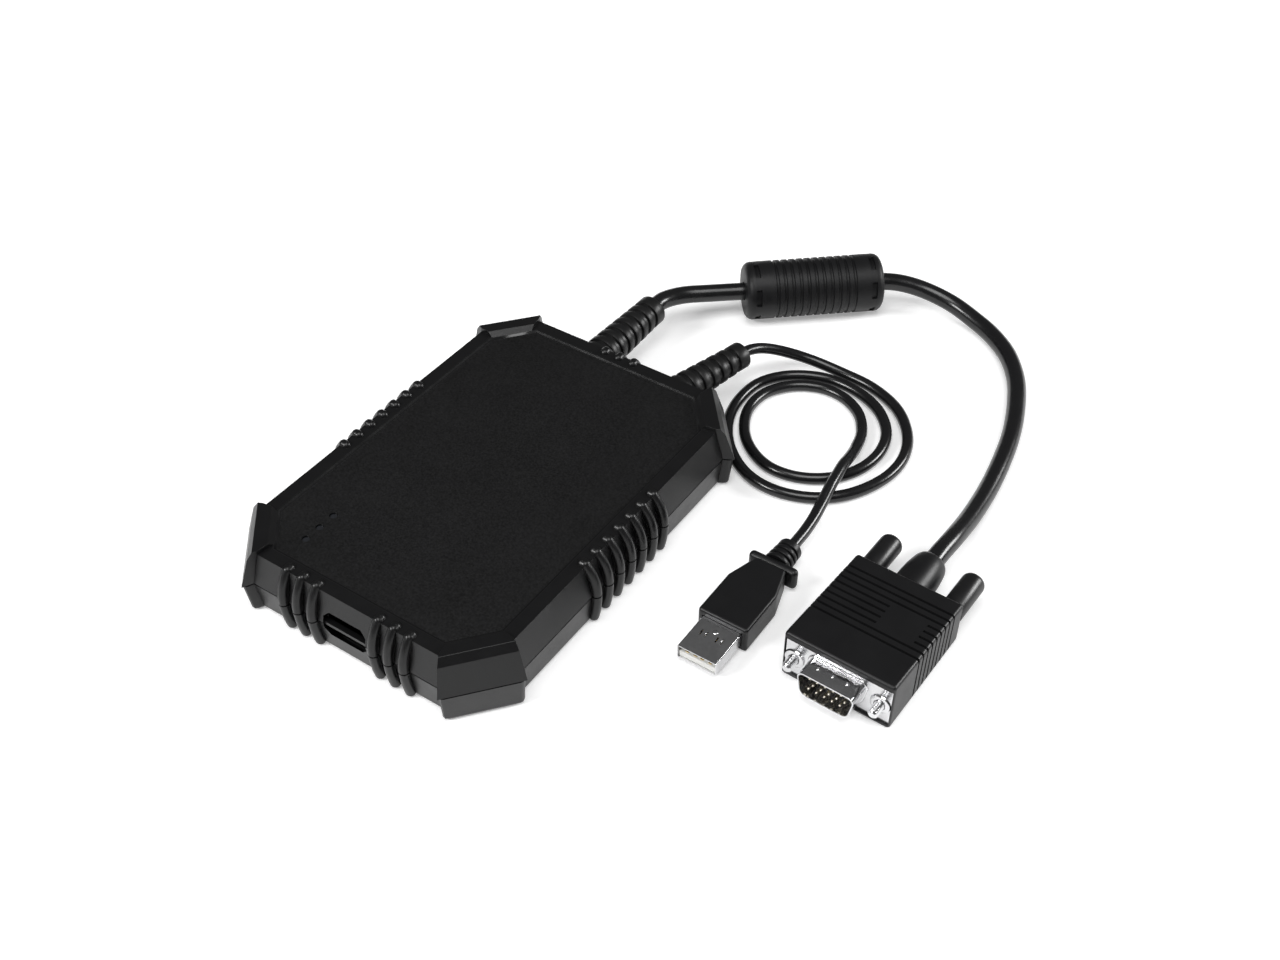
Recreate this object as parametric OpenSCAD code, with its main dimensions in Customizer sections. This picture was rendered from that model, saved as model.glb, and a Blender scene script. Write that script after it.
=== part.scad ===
// Crash cart adapter: a rugged clamshell box with a mini-USB socket, a VGA cord
// with a ferrite bead and a looped USB cord. The origin is on the floor under the
// middle of the box; +X is right and -Y is the socket end.

/* [Case] */
// Half width of the recessed panel
panel_half_w = 38; // [30:0.5:50]
// Half length of the recessed panel
panel_half_l = 56.8; // [48:0.2:70]
// Panel corner cut along the width
corner_cut_w = 9.2; // [6:0.2:12]
// Panel corner cut along the length
corner_cut_l = 11; // [8:0.5:14]
// Overall height over the bumpers
case_h = 21.4; // [19:0.2:26]
// Depth of the panel below the bumper tops
panel_drop = 2.1; // [1.5:0.1:3]
// Depth of the panel below the rim
rim_h = 0.8; // [0.4:0.1:1.4]
// Distance from the panel edge to the top edge of the wall
rim_w = 4.8; // [4:0.1:6]
// How far the wall leans out from its top edge to the parting line
wall_bulge = 2.5; // [1:0.1:3.5]
// Wall thickness
wall_t = 2.2; // [1.6:0.1:2.6]
// Thickness of the panels
panel_t = 2; // [1.5:0.1:2.5]
// Height of the groove along the parting line
parting_gap = 0.35; // [0.1:0.05:0.6]
// Depth of the groove along the parting line
parting_depth = 0.6; // [0.3:0.1:1]

/* [Corner bumpers] */
// Distance from the panel edge to the top outer edge of a bumper
bumper_w = 6.3; // [5.5:0.1:8]
// How far a bumper leans out from its top edge to the parting line
bumper_bulge = 4.1; // [2:0.1:5]
// Slant of the bumper ends, as a share of how far they stand out
bumper_end_share = 0.5; // [0.1:0.1:1]

/* [Grip ribs] */
// Ribs on each long side
side_ribs = 7; // [3:1:9]
// Rib spacing on the long sides
side_rib_pitch = 5.33; // [4:0.01:6]
// Radius of a rib's cross section
rib_r = 1.35; // [0.8:0.05:1.6]
// Radius of the arc that a rib follows over the wall
rib_arc_r = 13.8; // [12:0.2:18]
// How far a rib stands out from the wall at the parting line
rib_proud = 1.9; // [1:0.1:2.5]
// Distance of the rib tops below the case top
rib_top_drop = 1.6; // [1.4:0.1:2.4]
// Ribs on each side of the socket
front_ribs = 3; // [1:1:3]
// Distance of the inner front rib from the middle
front_rib_x = 10.5; // [9.5:0.1:11]
// Spacing of the front and rear ribs
end_rib_pitch = 5.1; // [4:0.1:5.2]
// Ribs between the two cords at the rear
rear_ribs = 3; // [1:1:3]

/* [Socket and lights] */
// Width of the socket opening in the wall
port_w = 14.5; // [12:0.5:15]
// Height of the socket opening in the wall
port_h = 8; // [6.5:0.5:9]
// Corner cut of the socket opening
port_cut = 1.8; // [0.5:0.1:2.4]
// Width of the mini-USB can
mini_w = 7.7; // [7:0.1:8.5]
// Height of the mini-USB can
mini_h = 3.9; // [3.5:0.1:4.5]
// Length of the mini-USB can
mini_l = 9.2; // [8:0.1:10]
// Sheet thickness of the mini-USB can
mini_t = 0.3; // [0.2:0.05:0.4]
// Status lights
light_count = 3; // [1:1:3]
// Distance of the lights from the left edge of the panel
light_inset_w = 12.7; // [10:0.1:18]
// Distance of the rearmost light from the front edge of the panel
light_inset_l = 17.9; // [16:0.1:26]
// Spacing of the lights
light_pitch = 5.35; // [4.5:0.05:6]
// Radius of a light pipe
light_r = 1; // [0.7:0.05:1.3]

/* [Main board] */
// Gap between the board's edges and the inside of the walls
board_gap = 5.9; // [5:0.1:8]
// Thickness of the board
board_t = 1.6; // [1:0.1:2]
// Corner cut of the board
board_cut = 12; // [10:0.5:16]
// Distance of the case screws from the long edges of the board
screw_inset_w = 4.2; // [4.2:0.1:9]
// Distance of the case screws from the short edges of the board
screw_inset_l = 13; // [11:0.5:26]
// Radius of a screw shank
screw_r = 1.25; // [1:0.05:1.5]
// Radius of a screw head
screw_head_r = 2.4; // [2:0.1:2.8]
// Height of a screw head
screw_head_h = 1.6; // [1:0.1:1.8]
// Radius of a screw boss
boss_r = 3.2; // [2.8:0.1:3.6]

/* [VGA cord] */
// Diameter of the VGA cord
vga_cord_d = 5.8; // [5:0.1:6.2]
// Distance of the VGA cord exit from the middle, to the left
vga_exit_x = 12.2; // [10:0.2:14]
// Length of the VGA strain relief outside the case
vga_relief_l = 33; // [25:1:36]
// Radius of the VGA strain relief at the case
vga_relief_r = 5.4; // [4.5:0.1:6]
// Radius of the VGA strain relief at its end
vga_relief_end_r = 4.3; // [3.5:0.1:5]
// Rings on the VGA strain relief
vga_relief_rings = 8; // [4:1:10]
// Outer radius of the ferrite bead
bead_r = 9.6; // [8:0.1:10]
// Length of the ferrite bead
bead_l = 46; // [36:1:50]
// Radius of the ferrite core
core_r = 8.1; // [6:0.1:8.3]
// Length of the ferrite core
core_l = 34; // [25:1:38]
// Ring grooves on the bead
bead_grooves = 11; // [4:1:14]
// Gap between the cord and what it passes through
cord_gap = 0.2; // [0.1:0.05:0.4]

/* [VGA plug] */
// Turn of the VGA plug on the floor, in degrees
vga_yaw = -2; // [-6:1:6]
// Sideways place of the VGA plug's front
vga_x = 111.4; // [105:0.2:118]
// Place of the VGA hood's front along the length
vga_y = -4.4; // [-10:0.2:0]
// Width of the hood
hood_w = 32; // [31:0.2:34]
// Length of the hood
hood_l = 37.5; // [34:0.5:42]
// Height of the hood at the front
hood_h = 16; // [14:0.2:17]
// Height of the hood at the rear
hood_rear_h = 13.6; // [12:0.2:16]
// Grooves across the hood
hood_grooves = 9; // [4:1:10]
// Width of a hood groove
hood_groove_w = 0.7; // [0.4:0.1:0.9]
// Depth of a hood groove
hood_groove_d = 0.6; // [0.3:0.1:1]
// Width of the flange
flange_w = 30.8; // [30:0.1:31]
// Height of the flange
flange_h = 12.5; // [12:0.1:13]
// Sheet thickness of the flange and skirt
flange_t = 0.5; // [0.4:0.05:0.7]
// Width of the D-shaped skirt
skirt_w = 16.9; // [16:0.1:17.5]
// Height of the D-shaped skirt
skirt_h = 8.3; // [8:0.1:8.8]
// Depth of the D-shaped skirt
skirt_d = 5.9; // [5:0.1:6.5]
// Distance between the thumbscrews
screw_pitch = 25; // [24.5:0.1:25.5]
// Radius of the thumbscrew thread
thread_r = 1.42; // [1.3:0.01:1.5]
// Radius of the thumbscrew shank in the hood
shank_r = 1.6; // [1.5:0.05:1.8]
// Running gap between the shank and its bore
shank_gap = 0.08; // [0.05:0.01:0.1]
// Radius of a thumbscrew knob
knob_r = 3.4; // [3:0.1:3.8]
// Length of a thumbscrew knob
knob_l = 14.5; // [10:0.5:16]
// How far a thumbscrew reaches past the flange
thread_l = 4; // [2:0.5:6]

/* [USB cord] */
// Diameter of the USB cord
usb_cord_d = 3.5; // [3:0.1:3.6]
// Distance of the USB cord exit from the middle, to the right
usb_exit_x = 17.6; // [16:0.2:20]
// Length of the USB strain relief outside the case
usb_relief_l = 29.5; // [22:0.5:32]
// Radius of the USB strain relief at the case
usb_relief_r = 4.8; // [4:0.1:5.4]
// Radius of the USB strain relief at its end
usb_relief_end_r = 3.6; // [3:0.1:4.5]
// Rings on the USB strain relief
usb_relief_rings = 7; // [4:1:9]
// Turn of the USB strain relief to the right, in degrees
usb_relief_turn = 13; // [0:1:15]

/* [USB plug] */
// Sideways place of the USB plug
usb_x = 77; // [72:0.2:82]
// Place of the front edge of the USB skirt along the length
usb_y = -15.8; // [-20:0.2:-10]
// Width of the USB skirt
usb_w = 12; // [11.9:0.05:12.1]
// Height of the USB skirt
usb_h = 4.5; // [4.4:0.05:4.6]
// Length of the USB skirt that shows
usb_l = 12.4; // [11.5:0.1:13]
// Sheet thickness of the USB skirt
usb_t = 0.3; // [0.25:0.05:0.4]
// Width of the USB plug body
usb_body_w = 15.2; // [14:0.1:17]
// Height of the USB plug body
usb_body_h = 8.4; // [7.5:0.1:9.5]
// Length of the wide part of the USB plug body
usb_body_l = 14.5; // [12:0.5:18]
// Length of the narrowing part of the USB plug body
usb_neck_l = 8; // [6:0.5:10]
// Width of the USB plug body at its neck
usb_neck_w = 9.5; // [8.5:0.1:11]
// Thickness of the collar behind the neck
usb_collar_t = 2.6; // [2:0.1:3.5]
// Length of the ringed relief on the USB plug
usb_tail_l = 11.5; // [8:0.5:14]
// Radius of the ringed relief on the USB plug at its root
usb_tail_r = 4; // [3.4:0.1:4.1]
// Radius of the ringed relief on the USB plug at its end
usb_tail_end_r = 2.8; // [2.4:0.1:3.2]

/* [Hidden] */
$fn = 32;

// One overrun serves every cut, and one small gap every loose fit
overrun = 1;
fit_gap = 0.15;

// Levels of the case
mid_z = case_h / 2;
panel_z = case_h - panel_drop;
rim_z = panel_z + rim_h;
case_half_w = panel_half_w + rim_w + wall_bulge;
case_half_l = panel_half_l + rim_w + wall_bulge;
inner_half_l = case_half_l - wall_t;
board_w = 2 * (case_half_w - wall_t - board_gap);
board_l = 2 * (inner_half_l - board_gap);
screw_x = board_w / 2 - screw_inset_w;
screw_y = board_l / 2 - screw_inset_l;
light_x = panel_half_w - light_inset_w;
light_y = panel_half_l - light_inset_l;

// Octagon rings: the panel outline pushed out by side on the sides and corner on the cuts
cut_len = norm([corner_cut_w, corner_cut_l]);
cut_nx = corner_cut_l / cut_len;
cut_ny = corner_cut_w / cut_len;
function cut_reach(corner) =
    cut_nx * panel_half_w + cut_ny * (panel_half_l - corner_cut_l) + corner;
function side_vertex(side, corner) =
    [panel_half_w + side, (cut_reach(corner) - cut_nx * (panel_half_w + side)) / cut_ny];
function end_vertex(side, corner) =
    [(cut_reach(corner) - cut_ny * (panel_half_l + side)) / cut_nx, panel_half_l + side];
function quarter(side, corner, sx, sy) = let (
    s = side_vertex(side, corner), e = end_vertex(side, corner))
    sx * sy > 0 ? [[sx * s[0], sy * s[1]], [sx * e[0], sy * e[1]]]
                : [[sx * e[0], sy * e[1]], [sx * s[0], sy * s[1]]];
function ring(side, corner) = concat(quarter(side, corner, 1, 1), quarter(side, corner, -1, 1),
    quarter(side, corner, -1, -1), quarter(side, corner, 1, -1));

// A thin slice holds one level of a lofted form
slice = 0.01;
module level(points, z) { translate([0, 0, z]) linear_extrude(slice) polygon(points); }

// One bumper's outline in plan: reach is its distance from the panel, wall that of the wall
function bumper_outline(reach, wall) = let (
    s = side_vertex(reach, reach), e = end_vertex(reach, reach),
    back = bumper_end_share * (reach - wall))
    [s, e, [e[0] - back, panel_half_l + wall], [e[0] - back, panel_half_l - corner_cut_l],
     [panel_half_w - corner_cut_w, s[1] - back], [panel_half_w + wall, s[1] - back]];

module bumper(reach_top, reach_mid, wall_top, wall_mid) {
    hull() {
        level(bumper_outline(reach_top, wall_top), case_h - slice);
        level(bumper_outline(reach_mid, wall_mid), mid_z);
    }
}

module at_corners() {
    for (sx = [0, 1], sy = [0, 1]) mirror([sx, 0, 0]) mirror([0, sy, 0]) children();
}

module all_bumpers() {
    at_corners() bumper(bumper_w, bumper_w + bumper_bulge, rim_w, rim_w + wall_bulge);
}

// A grip rib is an arc of round bar with round ends, over the wall at distance reach
module rib(reach) {
    top = mid_z - rib_top_drop;
    half_angle = asin(min(0.95, top / rib_arc_r));
    middle = reach + rib_proud - rib_r - rib_arc_r;
    translate([middle, 0, mid_z]) rotate([90, 0, 0]) {
        rotate_extrude(angle = half_angle) translate([rib_arc_r, 0]) circle(rib_r);
        rotate(half_angle) translate([rib_arc_r, 0, 0]) sphere(rib_r);
    }
}

module all_ribs() {
    for (sx = [0, 1], i = [0 : side_ribs - 1])
        mirror([sx, 0, 0])
            translate([0, (i - (side_ribs - 1) / 2) * side_rib_pitch, 0]) rib(case_half_w);
    for (sx = [-1, 1], i = [0 : front_ribs - 1])
        translate([sx * (front_rib_x + i * end_rib_pitch), 0, 0]) rotate(-90) rib(case_half_l);
    for (i = [0 : rear_ribs - 1])
        translate([(i - (rear_ribs - 1) / 2) * end_rib_pitch, 0, 0]) rotate(90) rib(case_half_l);
}

// Outside of the upper half, above the parting line
module half_outside() {
    hull() {
        level(ring(rim_w, rim_w), rim_z - slice);
        level(ring(rim_w + wall_bulge, rim_w + wall_bulge), mid_z);
    }
    all_bumpers();
    all_ribs();
}

// Recess over the panel, with its sloping sides
module panel_recess() {
    hull() {
        level(ring(0, 0), panel_z);
        level(ring(panel_drop + overrun, panel_drop + overrun), case_h + overrun);
    }
}

module half_cavity() {
    hull() {
        level(ring(rim_w + wall_bulge - wall_t, rim_w + wall_bulge - wall_t), mid_z - overrun);
        level(ring(rim_w - wall_t, rim_w - wall_t), panel_z - panel_t);
    }
}

// Socket opening, seen from the front
module port_opening() {
    w = port_w / 2;
    h = port_h / 2;
    c = port_cut;
    translate([0, -inner_half_l + wall_t, mid_z]) rotate([90, 0, 0])
        linear_extrude(3 * wall_t)
            polygon([[-w, h - c], [-w + c, h], [w - c, h], [w, h - c],
                     [w, c - h], [w - c, -h], [c - w, -h], [-w, c - h]]);
}

// Radius of the strain relief necks that the rear wall grips
vga_neck_r = vga_relief_end_r;
usb_neck_r = usb_relief_end_r;

module relief_holes() {
    for (hole = [[-vga_exit_x, vga_neck_r], [usb_exit_x, usb_neck_r]])
        translate([hole[0], inner_half_l - 2 * wall_t, mid_z]) rotate([-90, 0, 0])
            cylinder(r = hole[1] + fit_gap, h = 4 * wall_t);
}

// Places of the four case screws
screw_places = [for (x = [-1, 1], y = [-1, 1]) [x * screw_x, y * screw_y]];

// Board levels follow the socket, whose can is centred in the opening
board_top = mid_z - mini_h / 2;
board_z = board_top - board_t;

module half_shell() {
    difference() {
        half_outside();
        panel_recess();
        half_cavity();
        port_opening();
        relief_holes();
    }
}

module upper_shell() {
    boss_bottom = board_top + fit_gap;
    boss_top = panel_z - panel_t;
    color("#202022") difference() {
        union() {
            half_shell();
            for (p = screw_places)
                translate([p[0], p[1], boss_bottom])
                    cylinder(r = boss_r, h = boss_top - boss_bottom + slice);
        }
        for (p = screw_places)
            translate([p[0], p[1], boss_bottom - overrun])
                cylinder(r = screw_r - fit_gap, h = screw_grip + overrun);
        for (i = [0 : light_count - 1])
            translate([-light_x, -light_y - i * light_pitch, panel_z - panel_t - overrun])
                cylinder(r = light_r + fit_gap, h = panel_t + 2 * overrun);
    }
}

// The lower half is the upper one mirrored at the parting line
module to_lower() { translate([0, 0, case_h]) mirror([0, 0, 1]) children(); }

// The groove runs round the walls and round the bumpers
module parting_groove() {
    wall = rim_w + wall_bulge - parting_depth;
    translate([0, 0, mid_z - parting_gap]) linear_extrude(parting_gap + overrun) difference() {
        square(4 * panel_half_l, center = true);
        polygon(ring(wall, wall));
        at_corners() polygon(bumper_outline(bumper_w + bumper_bulge - parting_depth, wall));
    }
}

// The screw heads sit in pockets a little above the lower panel's face
screw_sink = 0.3;
screw_floor = panel_drop + screw_sink + screw_head_h;
// Depth of thread in the upper bosses
screw_grip = 6;
module lower_shell() {
    color("#1c1c1e") difference() {
        union() {
            difference() {
                to_lower() half_shell();
                parting_groove();
            }
            for (p = screw_places)
                translate([p[0], p[1], panel_drop])
                    cylinder(r = boss_r, h = board_z - panel_drop);
            for (y = board_screw_places)
                translate([0, y, panel_drop + panel_t - slice])
                    cylinder(r = pad_r, h = board_z - panel_drop - panel_t + slice);
        }
        for (y = board_screw_places)
            translate([0, y, panel_drop + panel_t])
                cylinder(r = board_screw_r - fit_gap / 2, h = case_h);
        for (p = screw_places) translate([p[0], p[1], 0]) {
            cylinder(r = screw_r + fit_gap, h = case_h);
            translate([0, 0, -overrun])
                cylinder(r = screw_head_r + fit_gap, h = screw_floor + overrun);
        }
    }
}

module case_screws() {
    color("#8d8f92") for (p = screw_places) translate([p[0], p[1], 0]) {
        translate([0, 0, screw_floor - screw_head_h]) difference() {
            cylinder(r = screw_head_r, h = screw_head_h);
            translate([0, 0, -overrun])
                cylinder(r = screw_head_r / 2, h = overrun + screw_head_h / 2, $fn = 6);
        }
        translate([0, 0, screw_floor])
            cylinder(r = screw_r - fit_gap, h = board_top + screw_grip - screw_floor - fit_gap);
    }
}

module main_board() {
    w = board_w / 2;
    l = board_l / 2;
    c = board_cut;
    color("#1d5a36") difference() {
        translate([0, 0, board_z]) linear_extrude(board_t)
            polygon([[-w, c - l], [c - w, -l], [w - c, -l], [w, c - l],
                     [w, l - c], [w - c, l], [c - w, l], [-w, l - c]]);
        for (p = screw_places) translate([p[0], p[1], 0])
            cylinder(r = screw_r + fit_gap, h = case_h);
        for (y = board_screw_places) translate([0, y, 0])
            cylinder(r = board_screw_r, h = case_h);
    }
}

// Two short screws hold the board to pads on the lower panel
board_screw_places = [-30, 30];
board_screw_r = 1;
board_screw_head_r = 2;
board_screw_head_h = 1.2;
pad_r = 2.6;
module board_screws() {
    bottom = panel_drop + panel_t + fit_gap;
    color("#9a9c9f") for (y = board_screw_places) translate([0, y, 0]) {
        translate([0, 0, board_top]) cylinder(r = board_screw_head_r, h = board_screw_head_h);
        translate([0, 0, bottom]) cylinder(r = board_screw_r - fit_gap / 2, h = board_top - bottom);
    }
}

// Mini-USB socket, its mouth a little behind the wall
mini_overhang = 3.2;
mini_y = -board_l / 2 - mini_overhang;
mini_chamfer = 1.2;
function mini_outline(inset) = let (
    w = mini_w / 2 - inset, h = mini_h / 2 - inset, c = mini_chamfer)
    [[-w, h], [w, h], [w, c - h], [w - c, -h], [c - w, -h], [-w, c - h]];
module mini_usb_can() {
    color("silver") translate([0, mini_y, mid_z]) rotate([90, 0, 180]) difference() {
        linear_extrude(mini_l) polygon(mini_outline(0));
        translate([0, 0, -overrun]) linear_extrude(mini_l - mini_t + overrun)
            polygon(mini_outline(mini_t));
    }
}

mini_tongue_w = 4;
mini_tongue_t = 0.9;
mini_base = 2;
mini_set_back = 1;
module mini_usb_tongue() {
    base_y = mini_y + mini_l - mini_t - mini_base;
    color("#161616") {
        translate([0, base_y, mid_z]) rotate([90, 0, 180])
            linear_extrude(mini_base - fit_gap) polygon(mini_outline(mini_t + fit_gap / 3));
        translate([-mini_tongue_w / 2, mini_y + mini_set_back, mid_z - mini_tongue_t / 2])
            cube([mini_tongue_w, base_y - mini_y - mini_set_back + fit_gap, mini_tongue_t]);
    }
}

mini_contacts = 5;
mini_contact_t = 0.2;
module mini_usb_contacts() {
    pitch = mini_tongue_w / mini_contacts;
    color("gold") for (i = [0 : mini_contacts - 1])
        translate([(i + 1 / 4) * pitch - mini_tongue_w / 2, mini_y + 3 / 2 * mini_set_back,
                   mid_z + mini_tongue_t / 2])
            cube([pitch / 2, mini_l - mini_base - 2 * mini_set_back, mini_contact_t]);
}

// A chip is a flat package with rows of legs along two sides
leg_w = 0.4;
leg_pitch = 1;
leg_out = 1.2;
module chip(x, y, w, l, h) {
    legs = floor(l / leg_pitch) - 1;
    color("#101010") translate([x, y, board_top]) {
        translate([-w / 2, -l / 2, leg_w / 2]) cube([w, l, h - leg_w / 2]);
        for (sx = [0, 1], i = [0 : legs - 1])
            mirror([sx, 0, 0]) translate([w / 2 - leg_w, (i - (legs - 1) / 2) * leg_pitch - leg_w / 2, 0])
                cube([leg_out + leg_w, leg_w, leg_w]);
    }
}

// Sizes and places of the parts on the board
chip_h = 1.6;
capture_size = [20, 20];
capture_at = [4, 8];
bridge_size = [12, 12];
bridge_at = [-8, -14];
memory_size = [10, 18];
memory_at = [22, -12];
module capture_chip() {
    chip(capture_at[0], capture_at[1], capture_size[0], capture_size[1], chip_h);
}
module usb_bridge_chip() {
    chip(bridge_at[0], bridge_at[1], bridge_size[0], bridge_size[1], chip_h);
}
module memory_chip() {
    chip(memory_at[0], memory_at[1], memory_size[0], memory_size[1], chip_h);
}

crystal_at = [8, -16];
crystal_r = 2;
crystal_l = 6;
crystal_h = 3.4;
module clock_crystal() {
    color("#b8babd") translate([crystal_at[0], crystal_at[1], board_top]) {
        for (sy = [-1, 1]) translate([0, sy * crystal_l / 2, 0]) cylinder(r = crystal_r, h = crystal_h);
        translate([-crystal_r, -crystal_l / 2, 0]) cube([2 * crystal_r, crystal_l, crystal_h]);
    }
}

capacitor_r = 2.5;
capacitor_h = 5.4;
capacitor_places = [[-20, 6], [-20, 14], [-20, 22], [-14, -28], [12, -36]];
module power_capacitors() {
    color("#a7abb0") for (p = capacitor_places) translate([p[0], p[1], board_top]) {
        translate([-capacitor_r, -capacitor_r, 0])
            cube([2 * capacitor_r, 2 * capacitor_r, capacitor_h / 6]);
        cylinder(r = capacitor_r - fit_gap, h = capacitor_h);
    }
}

led_l = 1.6;
led_h = 0.8;
module indicator_leds() {
    color("#e8e4c8") for (i = [0 : light_count - 1])
        translate([-light_x - led_l / 2, -light_y - i * light_pitch - led_l / 2, board_top])
            cube([led_l, led_l, led_h]);
}

// The pipes end a little under the panel face, so that each shows as a dark dot
light_sink = 0.4;
light_flange_w = 0.3;
light_flange_t = 0.5;
module light_pipes() {
    bottom = board_top + led_h + fit_gap;
    color("#2b2f36") for (i = [0 : light_count - 1])
        translate([-light_x, -light_y - i * light_pitch, 0]) {
            translate([0, 0, bottom])
                cylinder(r = light_r, h = panel_z - light_sink - bottom);
            translate([0, 0, panel_z - panel_t - light_flange_t])
                cylinder(r = light_r + light_flange_w, h = light_flange_t);
        }
}

// Headers on the board, their wire housings, and the bundles up to the strain reliefs
header_set_in = 16;
header_y = board_l / 2 - header_set_in;
header_d = 6;
header_h = 3.2;
header_wall = 0.8;
video_header_w = 20;
usb_header_w = 10;
module header(x, w) {
    color("#e9e6da") translate([x, header_y, board_top]) difference() {
        translate([-w / 2, -header_d / 2, 0]) cube([w, header_d, header_h]);
        translate([header_wall - w / 2, header_wall - header_d / 2, header_wall])
            cube([w - 2 * header_wall, header_d - 2 * header_wall, header_h]);
    }
}
housing_top = board_top + header_wall + header_h;
module wire_housing(x, w) {
    inner = header_wall + fit_gap;
    color("#d8d4c6") translate([x + inner - w / 2, header_y + inner - header_d / 2,
            housing_top - header_h])
        cube([w - 2 * inner, header_d - 2 * inner, header_h]);
}
module video_header() { header(-vga_exit_x, video_header_w); }
module video_wire_housing() { wire_housing(-vga_exit_x, video_header_w); }
module usb_header() { header(usb_exit_x, usb_header_w); }
module usb_wire_housing() { wire_housing(usb_exit_x, usb_header_w); }

// The wires rise out of the housing, turn back and run down to the strain relief
video_bundle_r = 1.5;
usb_bundle_r = 1.2;
bundle_turn_share = 1.5;
// The first ring leans with the wires, so the bundle starts this share of its radius up
bundle_lift = 0.2;
bundle_sides = 8;
function bundle_path(x, r, back) = let (turn = bundle_turn_share * r)
    concat([for (a = [0 : 22.5 : 90])
                [x, header_y + turn * (1 - cos(a)),
                 housing_top + bundle_lift * r + turn * sin(a)]],
           [[x, (header_y + back) / 2, (housing_top + turn + mid_z) / 2],
            [x, back - 2 * r, mid_z], [x, back, mid_z]]);
module lead_bundle(x, r, back) {
    color("#7d2a2a") tube(bundle_path(x, r, back), r, bundle_sides);
}
module video_lead_bundle() {
    lead_bundle(-vga_exit_x, video_bundle_r, relief_inner_y(vga_neck_r));
}
module usb_lead_bundle() {
    lead_bundle(usb_exit_x, usb_bundle_r, relief_inner_y(usb_neck_r));
}

// A ringed strain relief along +Z: a tapering sleeve with rings round it
ring_share = 0.55;
ring_proud = 0.55;
function ringed_profile(l, r0, r1, rings) = let (pitch = l / rings)
    concat([[0, 0]], [for (i = [0 : rings - 1], k = [0 : 3]) let (
        r = r0 + (r1 - r0) * i / rings + (k < 2 ? ring_proud : -ring_proud / 2))
        [r, (i + (k == 0 ? 0 : k == 3 ? 1 : ring_share)) * pitch]], [[0, l]]);
module ringed(l, r0, r1, rings) {
    rotate_extrude() polygon(ringed_profile(l, r0, r1, rings));
}

// A relief is held by a head inside the leaning wall and a neck through it
relief_head_w = 1;
relief_head_t = 2;
cavity_lean = wall_bulge / (panel_z - panel_t - mid_z);
function relief_head_y(neck) =
    inner_half_l - (neck + relief_head_w) * cavity_lean - 2 * fit_gap;
function relief_inner_y(neck) = relief_head_y(neck) - relief_head_t;
relief_root_y = case_half_l + fit_gap;
module strain_relief(x, neck, l, r0, r1, rings, turn) {
    // A turned relief starts further out, so that its first ring clears the wall
    clear = (r0 + ring_proud) * sin(turn);
    color("#19191b") translate([x, 0, mid_z]) {
        translate([0, relief_inner_y(neck), 0]) rotate([-90, 0, 0])
            cylinder(r = neck + relief_head_w, h = relief_head_t);
        translate([0, relief_inner_y(neck), 0]) rotate([-90, 0, 0])
            cylinder(r = neck, h = relief_root_y - relief_inner_y(neck) + neck / 2);
        translate([0, relief_root_y, 0]) rotate([-90, 0, 0])
            cylinder(r = r0, h = r0 / 2);
        translate([0, relief_root_y, 0]) rotate([0, 0, -turn]) translate([0, clear, 0])
            rotate([-90, 0, 0]) ringed(l - clear, r0, r1, rings);
    }
}
module vga_strain_relief() {
    strain_relief(-vga_exit_x, vga_neck_r, vga_relief_l, vga_relief_r, vga_relief_end_r,
        vga_relief_rings, 0);
}
module usb_strain_relief() {
    strain_relief(usb_exit_x, usb_neck_r, usb_relief_l, usb_relief_r, usb_relief_end_r,
        usb_relief_rings, usb_relief_turn);
}

// A round tube along a list of points, closed at both ends
function unit(v) = v / norm(v);
function path_dir(path, i) =
    unit(path[min(i + 1, len(path) - 1)] - path[max(i - 1, 0)]);
function tube_points(path, r, sides) = [for (i = [0 : len(path) - 1]) let (
    t = path_dir(path, i), u = unit(cross(t, [0, 0, 1] - t * t[2])), v = cross(u, t))
    for (k = [0 : sides - 1]) path[i] + r * (cos(360 * (k + 1 / 2) / sides) * u
        + sin(360 * (k + 1 / 2) / sides) * v)];
function tube_faces(rings, sides) = concat(
    [for (i = [0 : rings - 2], k = [0 : sides - 1]) let (n = (k + 1) % sides)
        for (t = [0, 1]) t == 0 ? [i * sides + k, i * sides + n, (i + 1) * sides + n]
            : [i * sides + k, (i + 1) * sides + n, (i + 1) * sides + k]],
    [for (k = [1 : sides - 2]) [0, k + 1, k]],
    [for (k = [1 : sides - 2]) let (b = (rings - 1) * sides) [b, b + k, b + k + 1]]);
module tube(path, r, sides) {
    polyhedron(tube_points(path, r, sides), tube_faces(len(path), sides));
}

// A smooth curve through hand-picked points, cut into steps per stretch
function spline_point(a, b, c, d, t) = ((2 * b) + (c - a) * t
    + (2 * a - 5 * b + 4 * c - d) * t * t + (3 * b - a - 3 * c + d) * t * t * t) / 2;
function smooth(route, rings) = let (last = len(route) - 1) [for (j = [0 : rings - 1]) let (
    s = j * last / (rings - 1), i = min(floor(s), last - 1))
    spline_point(route[max(i - 1, 0)], route[i], route[i + 1], route[min(i + 2, last)], s - i)];
function path_length(path) = len(path) < 2 ? 0
    : [for (i = 0, sum = 0; i < len(path); sum = sum
        + (i + 1 < len(path) ? norm(path[i + 1] - path[i]) : 0), i = i + 1) sum][len(path) - 1];
// Least distance between rings of the same tube that are further apart than skip
function least_gap(path, skip, d) = min([for (i = [0 : len(path) - 1],
    j = [i + skip : 1 : len(path) - 1]) norm(path[i] - path[j])]) - d;

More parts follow.
